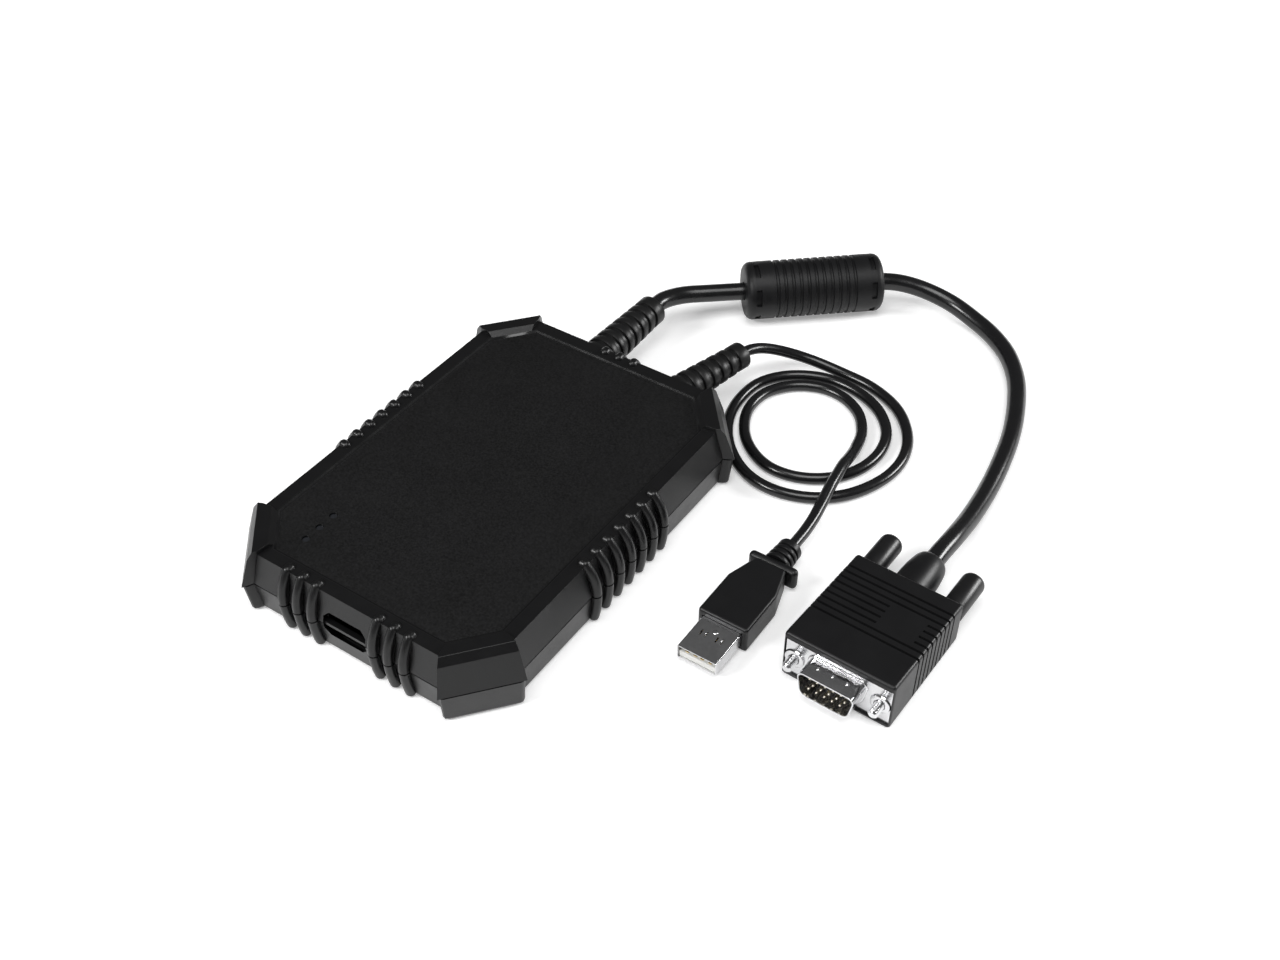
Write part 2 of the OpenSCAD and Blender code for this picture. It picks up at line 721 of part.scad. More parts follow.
// The VGA cord's route from its strain relief to the bead, and from the bead to the plug
vga_route = [[-12.2, 97.25, 10.7], [-12.1, 103.2, 10.7], [-8.6, 110, 10.3], [-1.4, 116.8, 10],
    [6, 123.3, 9.8], [12, 128.5, 9.8], [24, 138.9, 9.8], [36, 149.3, 9.8], [42.5, 154.9, 9.8],
    [48.5, 159, 8.8], [56, 162, 6.9], [65, 162.8, 4.9], [74, 160.5, 3.6], [82.5, 156.6, 3],
    [91, 149.6, 3], [98.3, 139.5, 3], [103.8, 127, 3], [108, 113.5, 3], [110.7, 99.5, 3.1],
    [112.4, 86, 3.4], [113.4, 72, 4.8], [113.7, 60, 6.9], [113.4, 52.3, 7.6], [113.2, 46.5, 7.6]];
vga_cord_rings = 35;
vga_cord_sides = 10;
module vga_cord() {
    color("#111112") tube(smooth(vga_route, vga_cord_rings), vga_cord_d / 2, vga_cord_sides);
}

// The bead lies along the straight stretch of the cord
bead_from = vga_route[5];
bead_mid = vga_route[6];
bead_to = vga_route[7];
bead_turn = atan2(bead_to[1] - bead_from[1], bead_to[0] - bead_from[0]);
bead_bore = vga_cord_d / 2 + cord_gap;
bead_round = 1.2;
groove_share = 0.62;
groove_r = 0.35;
bead_slots = 6;
slot_w = 1.6;
slot_deep = 0.8;
module along_bead() {
    translate(bead_mid) rotate([0, 90, bead_turn]) children();
}
module ferrite_cover() {
    half = bead_l / 2;
    pitch = groove_share * bead_l / bead_grooves;
    color("#222224") along_bead() difference() {
        rotate_extrude() polygon([[0, -half], [bead_r - bead_round, -half],
            [bead_r - bead_round / 4, bead_round / 4 - half], [bead_r, bead_round - half],
            [bead_r, half - bead_round], [bead_r - bead_round / 4, half - bead_round / 4],
            [bead_r - bead_round, half], [0, half]]);
        cylinder(r = bead_bore, h = 2 * bead_l, center = true);
        cylinder(r = core_r + fit_gap, h = core_l + 2 * fit_gap, center = true);
        for (i = [0 : bead_grooves - 1])
            translate([0, 0, (i - (bead_grooves - 1) / 2) * pitch]) rotate_extrude()
                translate([bead_r - groove_r, -groove_r]) square([groove_r + overrun, 2 * groove_r]);
        for (sz = [-1, 1], a = [0 : 360 / bead_slots : 359])
            rotate(a) translate([bead_r - slot_deep, -slot_w, sz * (half - 2 * slot_w) - slot_w / 2])
                cube([slot_deep + overrun, 2 * slot_w, slot_w]);
    }
}
module ferrite_core() {
    color("#3c3c40") along_bead() difference() {
        cylinder(r = core_r, h = core_l, center = true);
        cylinder(r = bead_bore, h = core_l + overrun, center = true);
    }
}

// VGA plug: built with its front face at y = 0 and turned into place
plug_z = 7.6;
flange_recess = 0.6;
tunnel_r = shank_r + shank_gap;
module at_vga() { translate([vga_x, vga_y, 0]) rotate(vga_yaw) children(); }
// Along +Y from the plug's front
module back_along(x, y) { translate([x, y, plug_z]) rotate([-90, 0, 0]) children(); }

collar_r = 5.6;
collar_end_r = 4.4;
collar_l = 13.4;
hood_front_share = 0.3;
hood_rear_share = 0.12;
hood_side_slot = 1.1;
blank_w = 11;
blank_x = 6.4;
blank_grooves = [2, 3, 4, 5];
hood_edge = 1;
module vga_hood() {
    w = hood_w / 2;
    e = hood_edge;
    ribbed = hood_l * (1 - hood_front_share - hood_rear_share);
    pitch = ribbed / hood_grooves;
    slope = atan((hood_h - hood_rear_h) / hood_l);
    color("#17171a") at_vga() difference() {
        union() {
            hull() {
                for (end = [[0, hood_h], [hood_l - slice, hood_rear_h]])
                    translate([0, end[0] + slice, 0]) rotate([90, 0, 0]) linear_extrude(slice)
                        polygon([[-w + e, 0], [w - e, 0], [w, e], [w, end[1] - e],
                            [w - e, end[1]], [e - w, end[1]], [-w, end[1] - e], [-w, e]]);
            }
            back_along(0, hood_l - overrun) cylinder(r1 = collar_r, r2 = collar_end_r,
                h = collar_l + overrun);
        }
        translate([-flange_w / 2 - fit_gap, -overrun, plug_z - flange_h / 2 - fit_gap])
            cube([flange_w + 2 * fit_gap, overrun + flange_recess + flange_t,
                  flange_h + 2 * fit_gap]);
        for (sx = [-1, 1]) back_along(sx * screw_pitch / 2, -overrun)
            cylinder(r = tunnel_r, h = hood_l + 2 * overrun);
        back_along(0, flange_recess + flange_t) cylinder(r = skirt_h / 2 + fit_gap, h = insulator_back);
        for (i = [0 : hood_grooves - 1]) {
            y = hood_l * hood_front_share + (i + 1 / 2) * pitch;
            top = hood_h - y * tan(slope);
            difference() {
                translate([-hood_w, y - hood_groove_w / 2, top - hood_groove_d])
                    cube([2 * hood_w, hood_groove_w, hood_h]);
                if (len(search(i, blank_grooves)) > 0)
                    translate([blank_x - blank_w / 2, 0, 0]) cube([blank_w, hood_l, 2 * hood_h]);
            }
            for (sx = [-1, 1])
                translate([sx * w - hood_side_slot, y - hood_groove_w / 2, -overrun])
                    cube([2 * hood_side_slot, hood_groove_w, 2 * hood_h]);
        }
    }
}

// The D outline: wide at the top, with sides that lean in
d_lean = 10;
d_round = 2.4;
module d_outline(inset) {
    r = d_round - inset;
    h = skirt_h / 2 - d_round;
    w = skirt_w / 2 - d_round;
    in = 2 * h * tan(d_lean) + r * tan(d_lean);
    hull() {
        for (sx = [-1, 1]) {
            translate([sx * w, h]) circle(r, $fn = 24);
            translate([sx * (w - in), -h]) circle(r, $fn = 24);
        }
    }
}
// Extrude a plug outline towards the front, from y outwards
module forward(y, depth) {
    translate([0, y, plug_z]) rotate([90, 0, 0]) linear_extrude(depth) children();
}

flange_y = flange_recess;
dimple_r = 0.7;
dimple_pitch = 4.2;
module vga_flange() {
    color("#c9cbd0") at_vga() difference() {
        union() {
            translate([-flange_w / 2, flange_y, plug_z - flange_h / 2])
                cube([flange_w, flange_t, flange_h]);
            forward(flange_y + flange_t, skirt_d + flange_t) d_outline(0);
            for (x = [-1, 0, 1]) translate([x * dimple_pitch, flange_y - skirt_d / 2,
                plug_z + skirt_h / 2 - dimple_r / 2]) sphere(dimple_r);
        }
        forward(flange_y + flange_t + overrun, 2 * skirt_d) d_outline(flange_t);
        for (sx = [-1, 1]) back_along(sx * screw_pitch / 2, -overrun)
            cylinder(r = tunnel_r, h = 2 * overrun + flange_t);
    }
}

insulator_front = 0.8;
insulator_back = 5;
module vga_insulator() {
    color("#0e0e10") at_vga() difference() {
        union() {
            forward(flange_y + flange_t, insulator_front + flange_t)
                d_outline(flange_t + fit_gap);
            back_along(0, flange_y + flange_t - slice)
                cylinder(r = skirt_h / 2 - fit_gap, h = insulator_back - fit_gap);
        }
        vga_pin_bars(pin_r + fit_gap / 2);
    }
}

// Three rows of five pins
pin_r = 0.38;
pin_pitch = 2.29;
pin_row = 1.98;
pin_set_back = 0.5;
module vga_pin_bars(r) {
    front = skirt_d - flange_y - pin_set_back;
    for (row = [-1, 0, 1], i = [0 : 4])
        translate([(i - 2) * pin_pitch + (row == 0 ? pin_pitch / 2 : 0) - pin_pitch / 4, -front,
                   plug_z + row * pin_row]) rotate([-90, 0, 0])
            cylinder(r = r, h = front + flange_y + flange_t - slice, $fn = 16);
}
module vga_pins() { color("#e0c060") at_vga() vga_pin_bars(pin_r); }

// A thumbscrew: thread in front of the flange, shank through the hood, knob behind it
knob_gap = 0.3;
knob_flutes = 12;
flute_r = 0.45;
module thumbscrew(side) {
    color("#1b1b1e") at_vga() {
        back_along(side * screw_pitch / 2, -thread_l)
            cylinder(r = thread_r, h = thread_l + flange_y);
        back_along(side * screw_pitch / 2, flange_y)
            cylinder(r = shank_r, h = hood_l + knob_gap - flange_y);
        back_along(side * screw_pitch / 2, hood_l + knob_gap) difference() {
            union() {
                cylinder(r = knob_r, h = knob_l - knob_r / 4);
                translate([0, 0, knob_l - knob_r / 4])
                    cylinder(r1 = knob_r, r2 = knob_r * 3 / 4, h = knob_r / 4);
            }
            for (a = [0 : 360 / knob_flutes : 359])
                rotate(a) translate([knob_r + flute_r / 2, 0, knob_l / 3])
                    cylinder(r = flute_r, h = knob_l, $fn = 16);
        }
    }
}
module left_thumbscrew() { thumbscrew(-1); }
module right_thumbscrew() { thumbscrew(1); }

// The USB cord's route: out of its strain relief, two and a half loops, and the plug
usb_route = [[24.24, 92.99, 10.7], [25.1, 96.6, 10.6], [27.6, 101.6, 9.2], [32.6, 106.8, 6.6],
    [40.4, 110.8, 4], [50.5, 112.6, 2.2], [62, 111.8, 1.8], [73, 106.8, 1.8], [81, 98, 1.8],
    [85, 87.5, 1.8], [84.6, 76.5, 1.8], [80, 65.6, 1.8], [72.4, 57.8, 1.8], [63, 53.8, 1.8],
    [53.5, 53.8, 1.8], [45, 57.6, 1.8], [37.4, 64.6, 1.8], [32, 73.8, 1.8], [29.9, 84, 1.8],
    [31.2, 94.4, 1.8], [37.6, 102.8, 1.8], [47.6, 107.6, 1.8], [58.5, 107.4, 1.8],
    [68.4, 103, 1.8], [75.4, 95, 1.8], [78, 85.3, 1.8], [76.4, 75.3, 1.8], [71, 67.2, 1.8],
    [63, 62.2, 1.8], [54, 61.2, 1.8], [45.6, 64.8, 1.8], [39, 71.4, 1.8], [34.8, 80.8, 1.8],
    [35.2, 90.6, 1.8], [40.4, 98.4, 1.8], [48.5, 102.6, 1.8], [57, 102.2, 1.8],
    [64.4, 97.8, 1.8], [69.2, 90.6, 1.8], [71.4, 82.4, 2.5], [72.6, 76, 4.3], [73.4, 70.4, 6],
    [74.2, 64.8, 6.4], [74.9, 59.4, 6.2], [75.6, 53.6, 4.8], [76.4, 47.4, 4.1],
    [76.9, 41.6, 4.1], [77, 37, 4.2], [77, 33.2, 4.2]];
usb_cord_rings = 88;
usb_cord_sides = 6;
module usb_cord() {
    color("#111112") tube(smooth(usb_route, usb_cord_rings), usb_cord_d / 2, usb_cord_sides);
}

// USB plug: built with the skirt's mouth at y = 0
usb_mid_z = usb_body_h / 2;
module at_usb() { translate([usb_x, usb_y, usb_mid_z]) children(); }
usb_inside_l = 4;
module usb_plug_skirt() {
    window = 2;
    color("#c4c6cb") at_usb() difference() {
        translate([-usb_w / 2, 0, -usb_h / 2]) cube([usb_w, usb_l + usb_inside_l, usb_h]);
        translate([usb_t - usb_w / 2, -overrun, usb_t - usb_h / 2])
            cube([usb_w - 2 * usb_t, usb_l + usb_inside_l + 2 * overrun, usb_h - 2 * usb_t]);
        for (sx = [-1, 1]) translate([sx * usb_w / 5 - window / 2, usb_l / 2, -usb_h])
            cube([window, window, 2 * usb_h]);
    }
}

usb_tongue_t = 1.8;
usb_tongue_set_back = 0.5;
usb_block_gap = 0.1;
module usb_plug_tongue() {
    wide = usb_w - 2 * (usb_t + usb_block_gap);
    high = usb_h - 2 * (usb_t + usb_block_gap);
    color("#f2f2ee") at_usb() translate([-wide / 2, 0, -high / 2]) {
        translate([0, usb_tongue_set_back, 0])
            cube([wide, usb_l + usb_inside_l - usb_tongue_set_back, usb_tongue_t]);
        translate([0, usb_l, 0]) cube([wide, usb_inside_l, high]);
    }
}

usb_contact_t = 0.25;
usb_contact_w = 1;
usb_contact_x = [-3.5, -1, 1, 3.5];
module usb_plug_contacts() {
    color("gold") at_usb() for (x = usb_contact_x)
        translate([x - usb_contact_w / 2, 2 * usb_tongue_set_back,
                   usb_t + usb_block_gap - usb_h / 2 + usb_tongue_t])
            cube([usb_contact_w, usb_l - 2 * usb_tongue_set_back, usb_contact_t]);
}

usb_tail_rings = 5;
usb_collar_w = 15;
module usb_plug_body() {
    w = usb_body_w / 2;
    n = usb_neck_w / 2;
    e = usb_body_h / 8;
    back = usb_l + usb_body_l + usb_neck_l;
    color("#17171a") at_usb() difference() {
        union() {
            intersection() {
                translate([0, 0, -usb_body_h / 2]) linear_extrude(usb_body_h)
                    polygon([[-w, usb_l], [w, usb_l], [w, usb_l + usb_body_l], [n, back],
                             [-n, back], [-w, usb_l + usb_body_l]]);
                translate([0, back, 0]) rotate([90, 0, 0]) linear_extrude(back)
                    polygon([[-w, e - usb_body_h / 2], [e - w, -usb_body_h / 2],
                        [w - e, -usb_body_h / 2], [w, e - usb_body_h / 2],
                        [w, usb_body_h / 2 - e], [w - e, usb_body_h / 2],
                        [e - w, usb_body_h / 2], [-w, usb_body_h / 2 - e]]);
            }
            translate([-usb_collar_w / 2, back, -usb_body_h * 3 / 8])
                cube([usb_collar_w, usb_collar_t, usb_body_h * 3 / 4]);
            translate([0, back + usb_collar_t, 0]) rotate([-90, 0, 0])
                ringed(usb_tail_l, usb_tail_r - ring_proud, usb_tail_end_r - ring_proud / 2,
                    usb_tail_rings);
        }
        translate([-usb_w / 2 - fit_gap, 0, -usb_h / 2 - fit_gap])
            cube([usb_w + 2 * fit_gap, usb_l + usb_inside_l + fit_gap, usb_h + 2 * fit_gap]);
    }
}

echo(usb_cord_length = path_length(smooth(usb_route, usb_cord_rings)),
     usb_cord_least_gap = least_gap(smooth(usb_route, usb_cord_rings), 10, usb_cord_d),
     vga_cord_length = path_length(smooth(vga_route, vga_cord_rings)));

upper_shell();
lower_shell();
case_screws();
main_board();
board_screws();
mini_usb_can();
mini_usb_tongue();
mini_usb_contacts();
capture_chip();
usb_bridge_chip();
memory_chip();
clock_crystal();
power_capacitors();
indicator_leds();
light_pipes();
video_header();
video_wire_housing();
video_lead_bundle();
usb_header();
usb_wire_housing();
usb_lead_bundle();
vga_strain_relief();
usb_strain_relief();
vga_cord();
ferrite_cover();
ferrite_core();
vga_hood();
vga_flange();
vga_insulator();
vga_pins();
left_thumbscrew();
right_thumbscrew();
usb_cord();
usb_plug_body();
usb_plug_skirt();
usb_plug_tongue();
usb_plug_contacts();
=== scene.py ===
import math

import bmesh
import bpy
from mathutils import Matrix, Vector


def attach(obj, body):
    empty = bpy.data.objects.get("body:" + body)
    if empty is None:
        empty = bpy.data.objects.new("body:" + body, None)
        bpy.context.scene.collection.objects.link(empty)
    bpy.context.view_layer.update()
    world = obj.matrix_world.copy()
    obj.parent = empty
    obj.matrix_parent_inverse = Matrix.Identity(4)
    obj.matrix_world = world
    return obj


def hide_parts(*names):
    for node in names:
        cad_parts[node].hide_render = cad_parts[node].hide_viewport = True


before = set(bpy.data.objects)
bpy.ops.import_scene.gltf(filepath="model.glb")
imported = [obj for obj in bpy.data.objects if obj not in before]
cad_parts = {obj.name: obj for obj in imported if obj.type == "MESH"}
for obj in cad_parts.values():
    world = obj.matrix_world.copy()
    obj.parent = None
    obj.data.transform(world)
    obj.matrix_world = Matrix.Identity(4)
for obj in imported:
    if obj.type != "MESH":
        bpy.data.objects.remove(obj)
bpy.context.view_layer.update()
MM = 0.001

# The camera stands where the photographer's did: in front of the box and to its right, and
# looking down at about 43 degrees.
eye = bpy.data.cameras.new("eye")
eye.sensor_width = 36
eye.lens = 41.4
camera = bpy.data.objects.new("camera", eye)
camera.location = (0.2036, -0.2288, 0.2978)
camera.rotation_euler = (math.radians(90 - 42.9), 0, math.radians(34.1))
bpy.context.collection.objects.link(camera)
bpy.context.scene.camera = camera

# The cords. The thick one to the video plug and the thin one to the USB plug are copper
# under a smooth black PVC jacket, which is extruded and so has a slight shine and faint
# waves along it. Both are moulded into ringed reliefs at the box.
vga_cord_d = 5.8
usb_cord_d = 3.5
vga_route = [
    (-12.2, 97.25, 10.7), (-12.1, 103.2, 10.7), (-8.6, 110, 10.3), (-1.4, 116.8, 10),
    (6, 123.3, 9.8), (12, 128.5, 9.8), (24, 138.9, 9.8), (36, 149.3, 9.8), (42.5, 154.9, 9.8),
    (48.5, 159, 8.8), (56, 162, 6.9), (65, 162.8, 4.9), (74, 160.5, 3.6), (82.5, 156.6, 3),
    (91, 149.6, 3), (98.3, 139.5, 3), (103.8, 127, 3), (108, 113.5, 3), (110.7, 99.5, 3.1),
    (112.4, 86, 3.4), (113.4, 72, 4.8), (113.7, 60, 6.9), (113.4, 52.3, 7.6), (113.2, 46.5, 7.6),
]
usb_route = [
    (24.24, 92.99, 10.7), (25.1, 96.6, 10.6), (27.6, 101.6, 9.2), (32.6, 106.8, 6.6),
    (40.4, 110.8, 4), (50.5, 112.6, 2.2), (62, 111.8, 1.8), (73, 106.8, 1.8), (81, 98, 1.8),
    (85, 87.5, 1.8), (84.6, 76.5, 1.8), (80, 65.6, 1.8), (72.4, 57.8, 1.8), (63, 53.8, 1.8),
    (53.5, 53.8, 1.8), (45, 57.6, 1.8), (37.4, 64.6, 1.8), (32, 73.8, 1.8), (29.9, 84, 1.8),
    (31.2, 94.4, 1.8), (37.6, 102.8, 1.8), (47.6, 107.6, 1.8), (58.5, 107.4, 1.8),
    (68.4, 103, 1.8), (75.4, 95, 1.8), (78, 85.3, 1.8), (76.4, 75.3, 1.8), (71, 67.2, 1.8),
    (63, 62.2, 1.8), (54, 61.2, 1.8), (45.6, 64.8, 1.8), (39, 71.4, 1.8), (34.8, 80.8, 1.8),
    (35.2, 90.6, 1.8), (40.4, 98.4, 1.8), (48.5, 102.6, 1.8), (57, 102.2, 1.8),
    (64.4, 97.8, 1.8), (69.2, 90.6, 1.8), (71.4, 82.4, 2.5), (72.6, 76, 4.3), (73.4, 70.4, 6),
    (74.2, 64.8, 6.4), (74.9, 59.4, 6.2), (75.6, 53.6, 4.8), (76.4, 47.4, 4.1),
    (76.9, 41.6, 4.1), (77, 37, 4.2), (77, 33.2, 4.2),
]


class Wire:
    """A link or number in a material's nodes. Arithmetic on it adds Math nodes."""

    def __init__(self, tree, socket=None):
        self.tree, self.socket = tree, socket

    def node(self, kind, settings=(), sockets=(), out=0):
        made = self.tree.nodes.new("ShaderNode" + kind)
        for name, value in dict(settings).items():
            setattr(made, name, value)
        for name, value in dict(sockets).items():
            if isinstance(value, Wire):
                self.tree.links.new(value.socket, made.inputs[name])
            else:
                made.inputs[name].default_value = value
        return Wire(self.tree, made.outputs[out])

    def maths(self, operation, *values):
        return self.node("Math", {"operation": operation}, dict(enumerate(values)))

    def __add__(self, other):
        return self.maths("ADD", self, other)

    def __sub__(self, other):
        return self.maths("SUBTRACT", self, other)

    def __rsub__(self, other):
        return self.maths("SUBTRACT", other, self)

    def __mul__(self, other):
        return self.maths("MULTIPLY", self, other)

    def __gt__(self, other):
        return self.maths("GREATER_THAN", self, other)

    __radd__ = __add__
    __rmul__ = __mul__

    def mix(self, first, second):
        """The first colour where this is 0 and the second where it is 1."""
        return self.node("Mix", {"data_type": "RGBA"}, {0: self, 6: first, 7: second}, 2)


def painted(name, look, **fixed):
    """A material from the varying sockets that look(wire, place) gives, and fixed values."""
    material = bpy.data.materials.new(name)
    material.use_nodes = True
    tree = material.node_tree
    shader = tree.nodes["Principled BSDF"]
    wire = Wire(tree)
    place = wire.node("TexCoord", out="Object")
    for socket, value in fixed.items():
        shader.inputs[socket.replace("_", " ")].default_value = value
    for socket, link in look(wire, place).items():
        tree.links.new(link.socket, shader.inputs[socket])
    return material


def noise(wire, place, size, detail=2):
    """Noise with features of about size mm."""
    return wire.node("TexNoise", {}, {"Vector": place, "Scale": 1 / (size * MM), "Detail": detail})


def bump(wire, height, depth):
    """A normal from a height of 0 to 1 that stands for depth mm."""
    return wire.node("Bump", {}, {"Height": height, "Distance": depth * MM}, "Normal")


def tint(colour, factor):
    return tuple(min(1, c * factor) for c in colour[:3]) + (1,)


def surface(name, colour, roughness, grain, depth, blotch=6, spread=0.18, **fixed):
    """A plain moulded surface: its colour and gloss drift in soft blotches of about blotch
    mm, and a grain of about grain mm stands depth mm out of it."""

    def look(wire, place):
        drift = noise(wire, place, blotch, 3)
        fine = noise(wire, place, grain, 3)
        return {
            "Base Color": (drift * 0.6 + fine * 0.4).mix(
                tint(colour, 1 - spread), tint(colour, 1 + spread)),
            "Roughness": (drift - 0.5) * 0.14 + (fine - 0.5) * 0.12 + roughness,
            "Normal": bump(wire, fine, depth),
        }

    return painted(name, look, **fixed)


def route_points(route, steps):
    """The smooth curve through the route's points, in metres."""
    last, found = len(route) - 1, []
    for j in range(last * steps + 1):
        i = min(j // steps, last - 1)
        t = j / steps - i
        a, b, c, d = (Vector(route[min(max(k, 0), last)]) for k in (i - 1, i, i + 1, i + 2))
        bend = (2 * b + (c - a) * t + (2 * a - 5 * b + 4 * c - d) * t * t
                + (3 * b - a - 3 * c + d) * t * t * t)
        found.append(bend * (MM / 2))
    return found


def lay_cord(name, route, diameter, jacket, node):
    curve = bpy.data.curves.new(name, "CURVE")
    curve.dimensions = "3D"
    points = route_points(route, 8)
    line = curve.splines.new("POLY")
    line.points.add(len(points) - 1)
    for held, point in zip(line.points, points):
        held.co = (*point, 1)
    line.use_smooth = True
    curve.bevel_depth = diameter / 2 * MM
    curve.bevel_resolution = 5
    curve.use_fill_caps = True
    curve.materials.append(jacket)
    cord = bpy.data.objects.new(name, curve)
    bpy.context.collection.objects.link(cord)
    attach(cord, "adapter")
    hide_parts(node)
    return cord


cord_jacket = surface("cord_jacket", (0.006, 0.006, 0.0065), 0.24, 2.5, 0.015, 9,
                      Specular_IOR_Level=0.55)
vga_lead = lay_cord("vga_lead", vga_route, vga_cord_d, cord_jacket, "vga_cord")
usb_lead = lay_cord("usb_lead", usb_route, usb_cord_d, cord_jacket, "usb_cord")

# The upper half of the case: one ABS moulding with a recessed panel, a flat rim that slopes
# down to it, leaning walls, taller bumpers round its corners and grip ribs over its walls.
# The walls and ribs have a fine satin grain and the panel a coarser sandy one.
half_w, half_l = 38, 56.8
cut_w, cut_l = 9.2, 11
case_h = 21.4
mid_z = case_h / 2
panel_z = 19.3
rim_z = 20.1
rim_w = 4.8
wall_bulge = 2.5
wall_t = 2.2
panel_t = 2
bumper_w, bumper_bulge, bumper_end = 6.3, 4.1, 0.5
case_half_w = half_w + rim_w + wall_bulge
case_half_l = half_l + rim_w + wall_bulge
outer_wall = rim_w + wall_bulge
board_top = mid_z - 1.95
boss_r = 3.2
boss_places = [(x, y) for x in (-33, 33) for y in (-43, 43)]
rib_r, rib_proud, rib_level, rib_start = 1.5, 1.9, 9.1, 3.4
upper_rib_arc, lower_rib_arc = 13.8, 38
side_rib_places = [(i - 3) * 5.33 for i in range(7)]
front_rib_places = (10.5, 15.6, 20.7)
rear_rib_places = (-5.1, 0, 5.1)
port_half_w, port_half_h, port_cut = 7.25, 4, 1.8
vga_exit_x, usb_exit_x = -12.2, 17.6


def corner_ends(side):
    """The ends of a cut corner's edge, side mm outside the panel's edge."""
    long = math.hypot(cut_w, cut_l)
    nx, ny = cut_l / long, cut_w / long
    reach = nx * half_w + ny * (half_l - cut_l) + side
    return ((half_w + side, (reach - nx * (half_w + side)) / ny),
            ((reach - ny * (half_l + side)) / nx, half_l + side))


def octagon(bm, side, z):
    """The case's outline, side mm outside the panel's edge, as one face that looks up."""
    a, b = corner_ends(side)
    corners = [a, b, (-b[0], b[1]), (-a[0], a[1]), (-a[0], -a[1]), (-b[0], -b[1]),
               (b[0], -b[1]), (a[0], -a[1])]
    return bm.faces.new([bm.verts.new((x, y, z)) for x, y in corners])


def step_in(bm, face, inward, up):
    """Inset a face that looks up and lift it; its new edges."""
    bm.normal_update()
    bmesh.ops.inset_region(bm, faces=[face], thickness=inward, use_even_offset=True,
                           use_boundary=True)
    bmesh.ops.translate(bm, verts=face.verts, vec=(0, 0, up))
    return list(face.edges)


def soften(bm, edges, width, segments=3):
    bm.normal_update()
    return bmesh.ops.bevel(bm, geom=edges, offset=width, offset_type="OFFSET", segments=segments,
                           profile=0.5, affect="EDGES", material=-1, clamp_overlap=True)


def sharp_edges(bm, degrees=25):
    bm.normal_update()
    return [e for e in bm.edges if e.is_manifold and e.calc_face_angle() > math.radians(degrees)]


def placed(bm, *turns):
    for turn in turns:
        bmesh.ops.transform(bm, matrix=turn, verts=bm.verts)
    return bm


def joined(*parts):
    """One bmesh of several closed forms."""
    whole = bmesh.new()
    for part in parts:
        mesh = bpy.data.meshes.new("part")
        part.to_mesh(mesh)
        part.free()
        whole.from_mesh(mesh)
        bpy.data.meshes.remove(mesh)
    return whole


def carved(bm, *cutters):
    """bm with the closed forms of the cutters taken out of it."""
    forms = []
    for part in (bm, *cutters):
        mesh = bpy.data.meshes.new("form")
        part.to_mesh(mesh)
        part.free()
        forms.append(bpy.data.objects.new("form", mesh))
        bpy.context.collection.objects.link(forms[-1])
    for cutter in forms[1:]:
        cut = forms[0].modifiers.new("cut", "BOOLEAN")
        cut.operation, cut.solver, cut.object = "DIFFERENCE", "EXACT", cutter
    left = bmesh.new()
    left.from_object(forms[0], bpy.context.evaluated_depsgraph_get())
    for form in forms:
        mesh = form.data
        bpy.data.objects.remove(form)
        bpy.data.meshes.remove(mesh)
    return left


def bar(radius, length, at=(0, 0, 0)):
    """A round bar that stands on at, along Z."""
    bm = bmesh.new()
    bmesh.ops.create_cone(bm, cap_ends=True, segments=32, radius1=radius, radius2=radius,
                          depth=length,
                          matrix=Matrix.Translation((at[0], at[1], at[2] + length / 2)))
    return bm


def ball(bm, radius, at):
    bmesh.ops.create_uvsphere(bm, u_segments=16, v_segments=10, radius=radius,
                              matrix=Matrix.Translation(at))
    return bm


def pulled(bm, faces, vec):
    """Extrude faces by vec; the vertices that moved."""
    push = bmesh.ops.extrude_face_region(bm, geom=faces)
    verts = [v for v in push["geom"] if isinstance(v, bmesh.types.BMVert)]
    bmesh.ops.translate(bm, vec=vec, verts=verts)
    return verts


def prism(corners, vec):
    """A closed form drawn out by vec from a flat outline."""
    bm = bmesh.new()
    pulled(bm, [bm.faces.new([bm.verts.new(corner) for corner in corners])], vec)
    bmesh.ops.recalc_face_normals(bm, faces=bm.faces)
    return bm


def everything(bm):
    return bm.verts[:] + bm.edges[:] + bm.faces[:]


def block(size, at=(0, 0, 0), bevel=0, segments=2):
    """A box centred on at, its edges rounded."""
    bm = bmesh.new()
    bmesh.ops.create_cube(bm, size=1, matrix=Matrix.Translation(at)
                          @ Matrix.Diagonal((*size, 1)))
    if bevel:
        soften(bm, bm.edges[:], bevel, segments)
    return bm


def finished(name, bm, finishes, body="adapter", nodes=(), weigh=True):
    """The object of a bmesh in mm, riding on its body and standing for its CAD nodes."""
    bmesh.ops.scale(bm, vec=(MM, MM, MM), verts=bm.verts)
    mesh = bpy.data.meshes.new(name)
    bm.to_mesh(mesh)
    bm.free()
    for finish in finishes:
        mesh.materials.append(finish)
    mesh.shade_smooth()
    mesh.set_sharp_from_angle(angle=math.radians(38))
    piece = bpy.data.objects.new(name, mesh)
    bpy.context.collection.objects.link(piece)
    if weigh:
        even = piece.modifiers.new("even", "WEIGHTED_NORMAL")
        even.keep_sharp = True
    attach(piece, body)
    if nodes:
        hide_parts(*nodes)


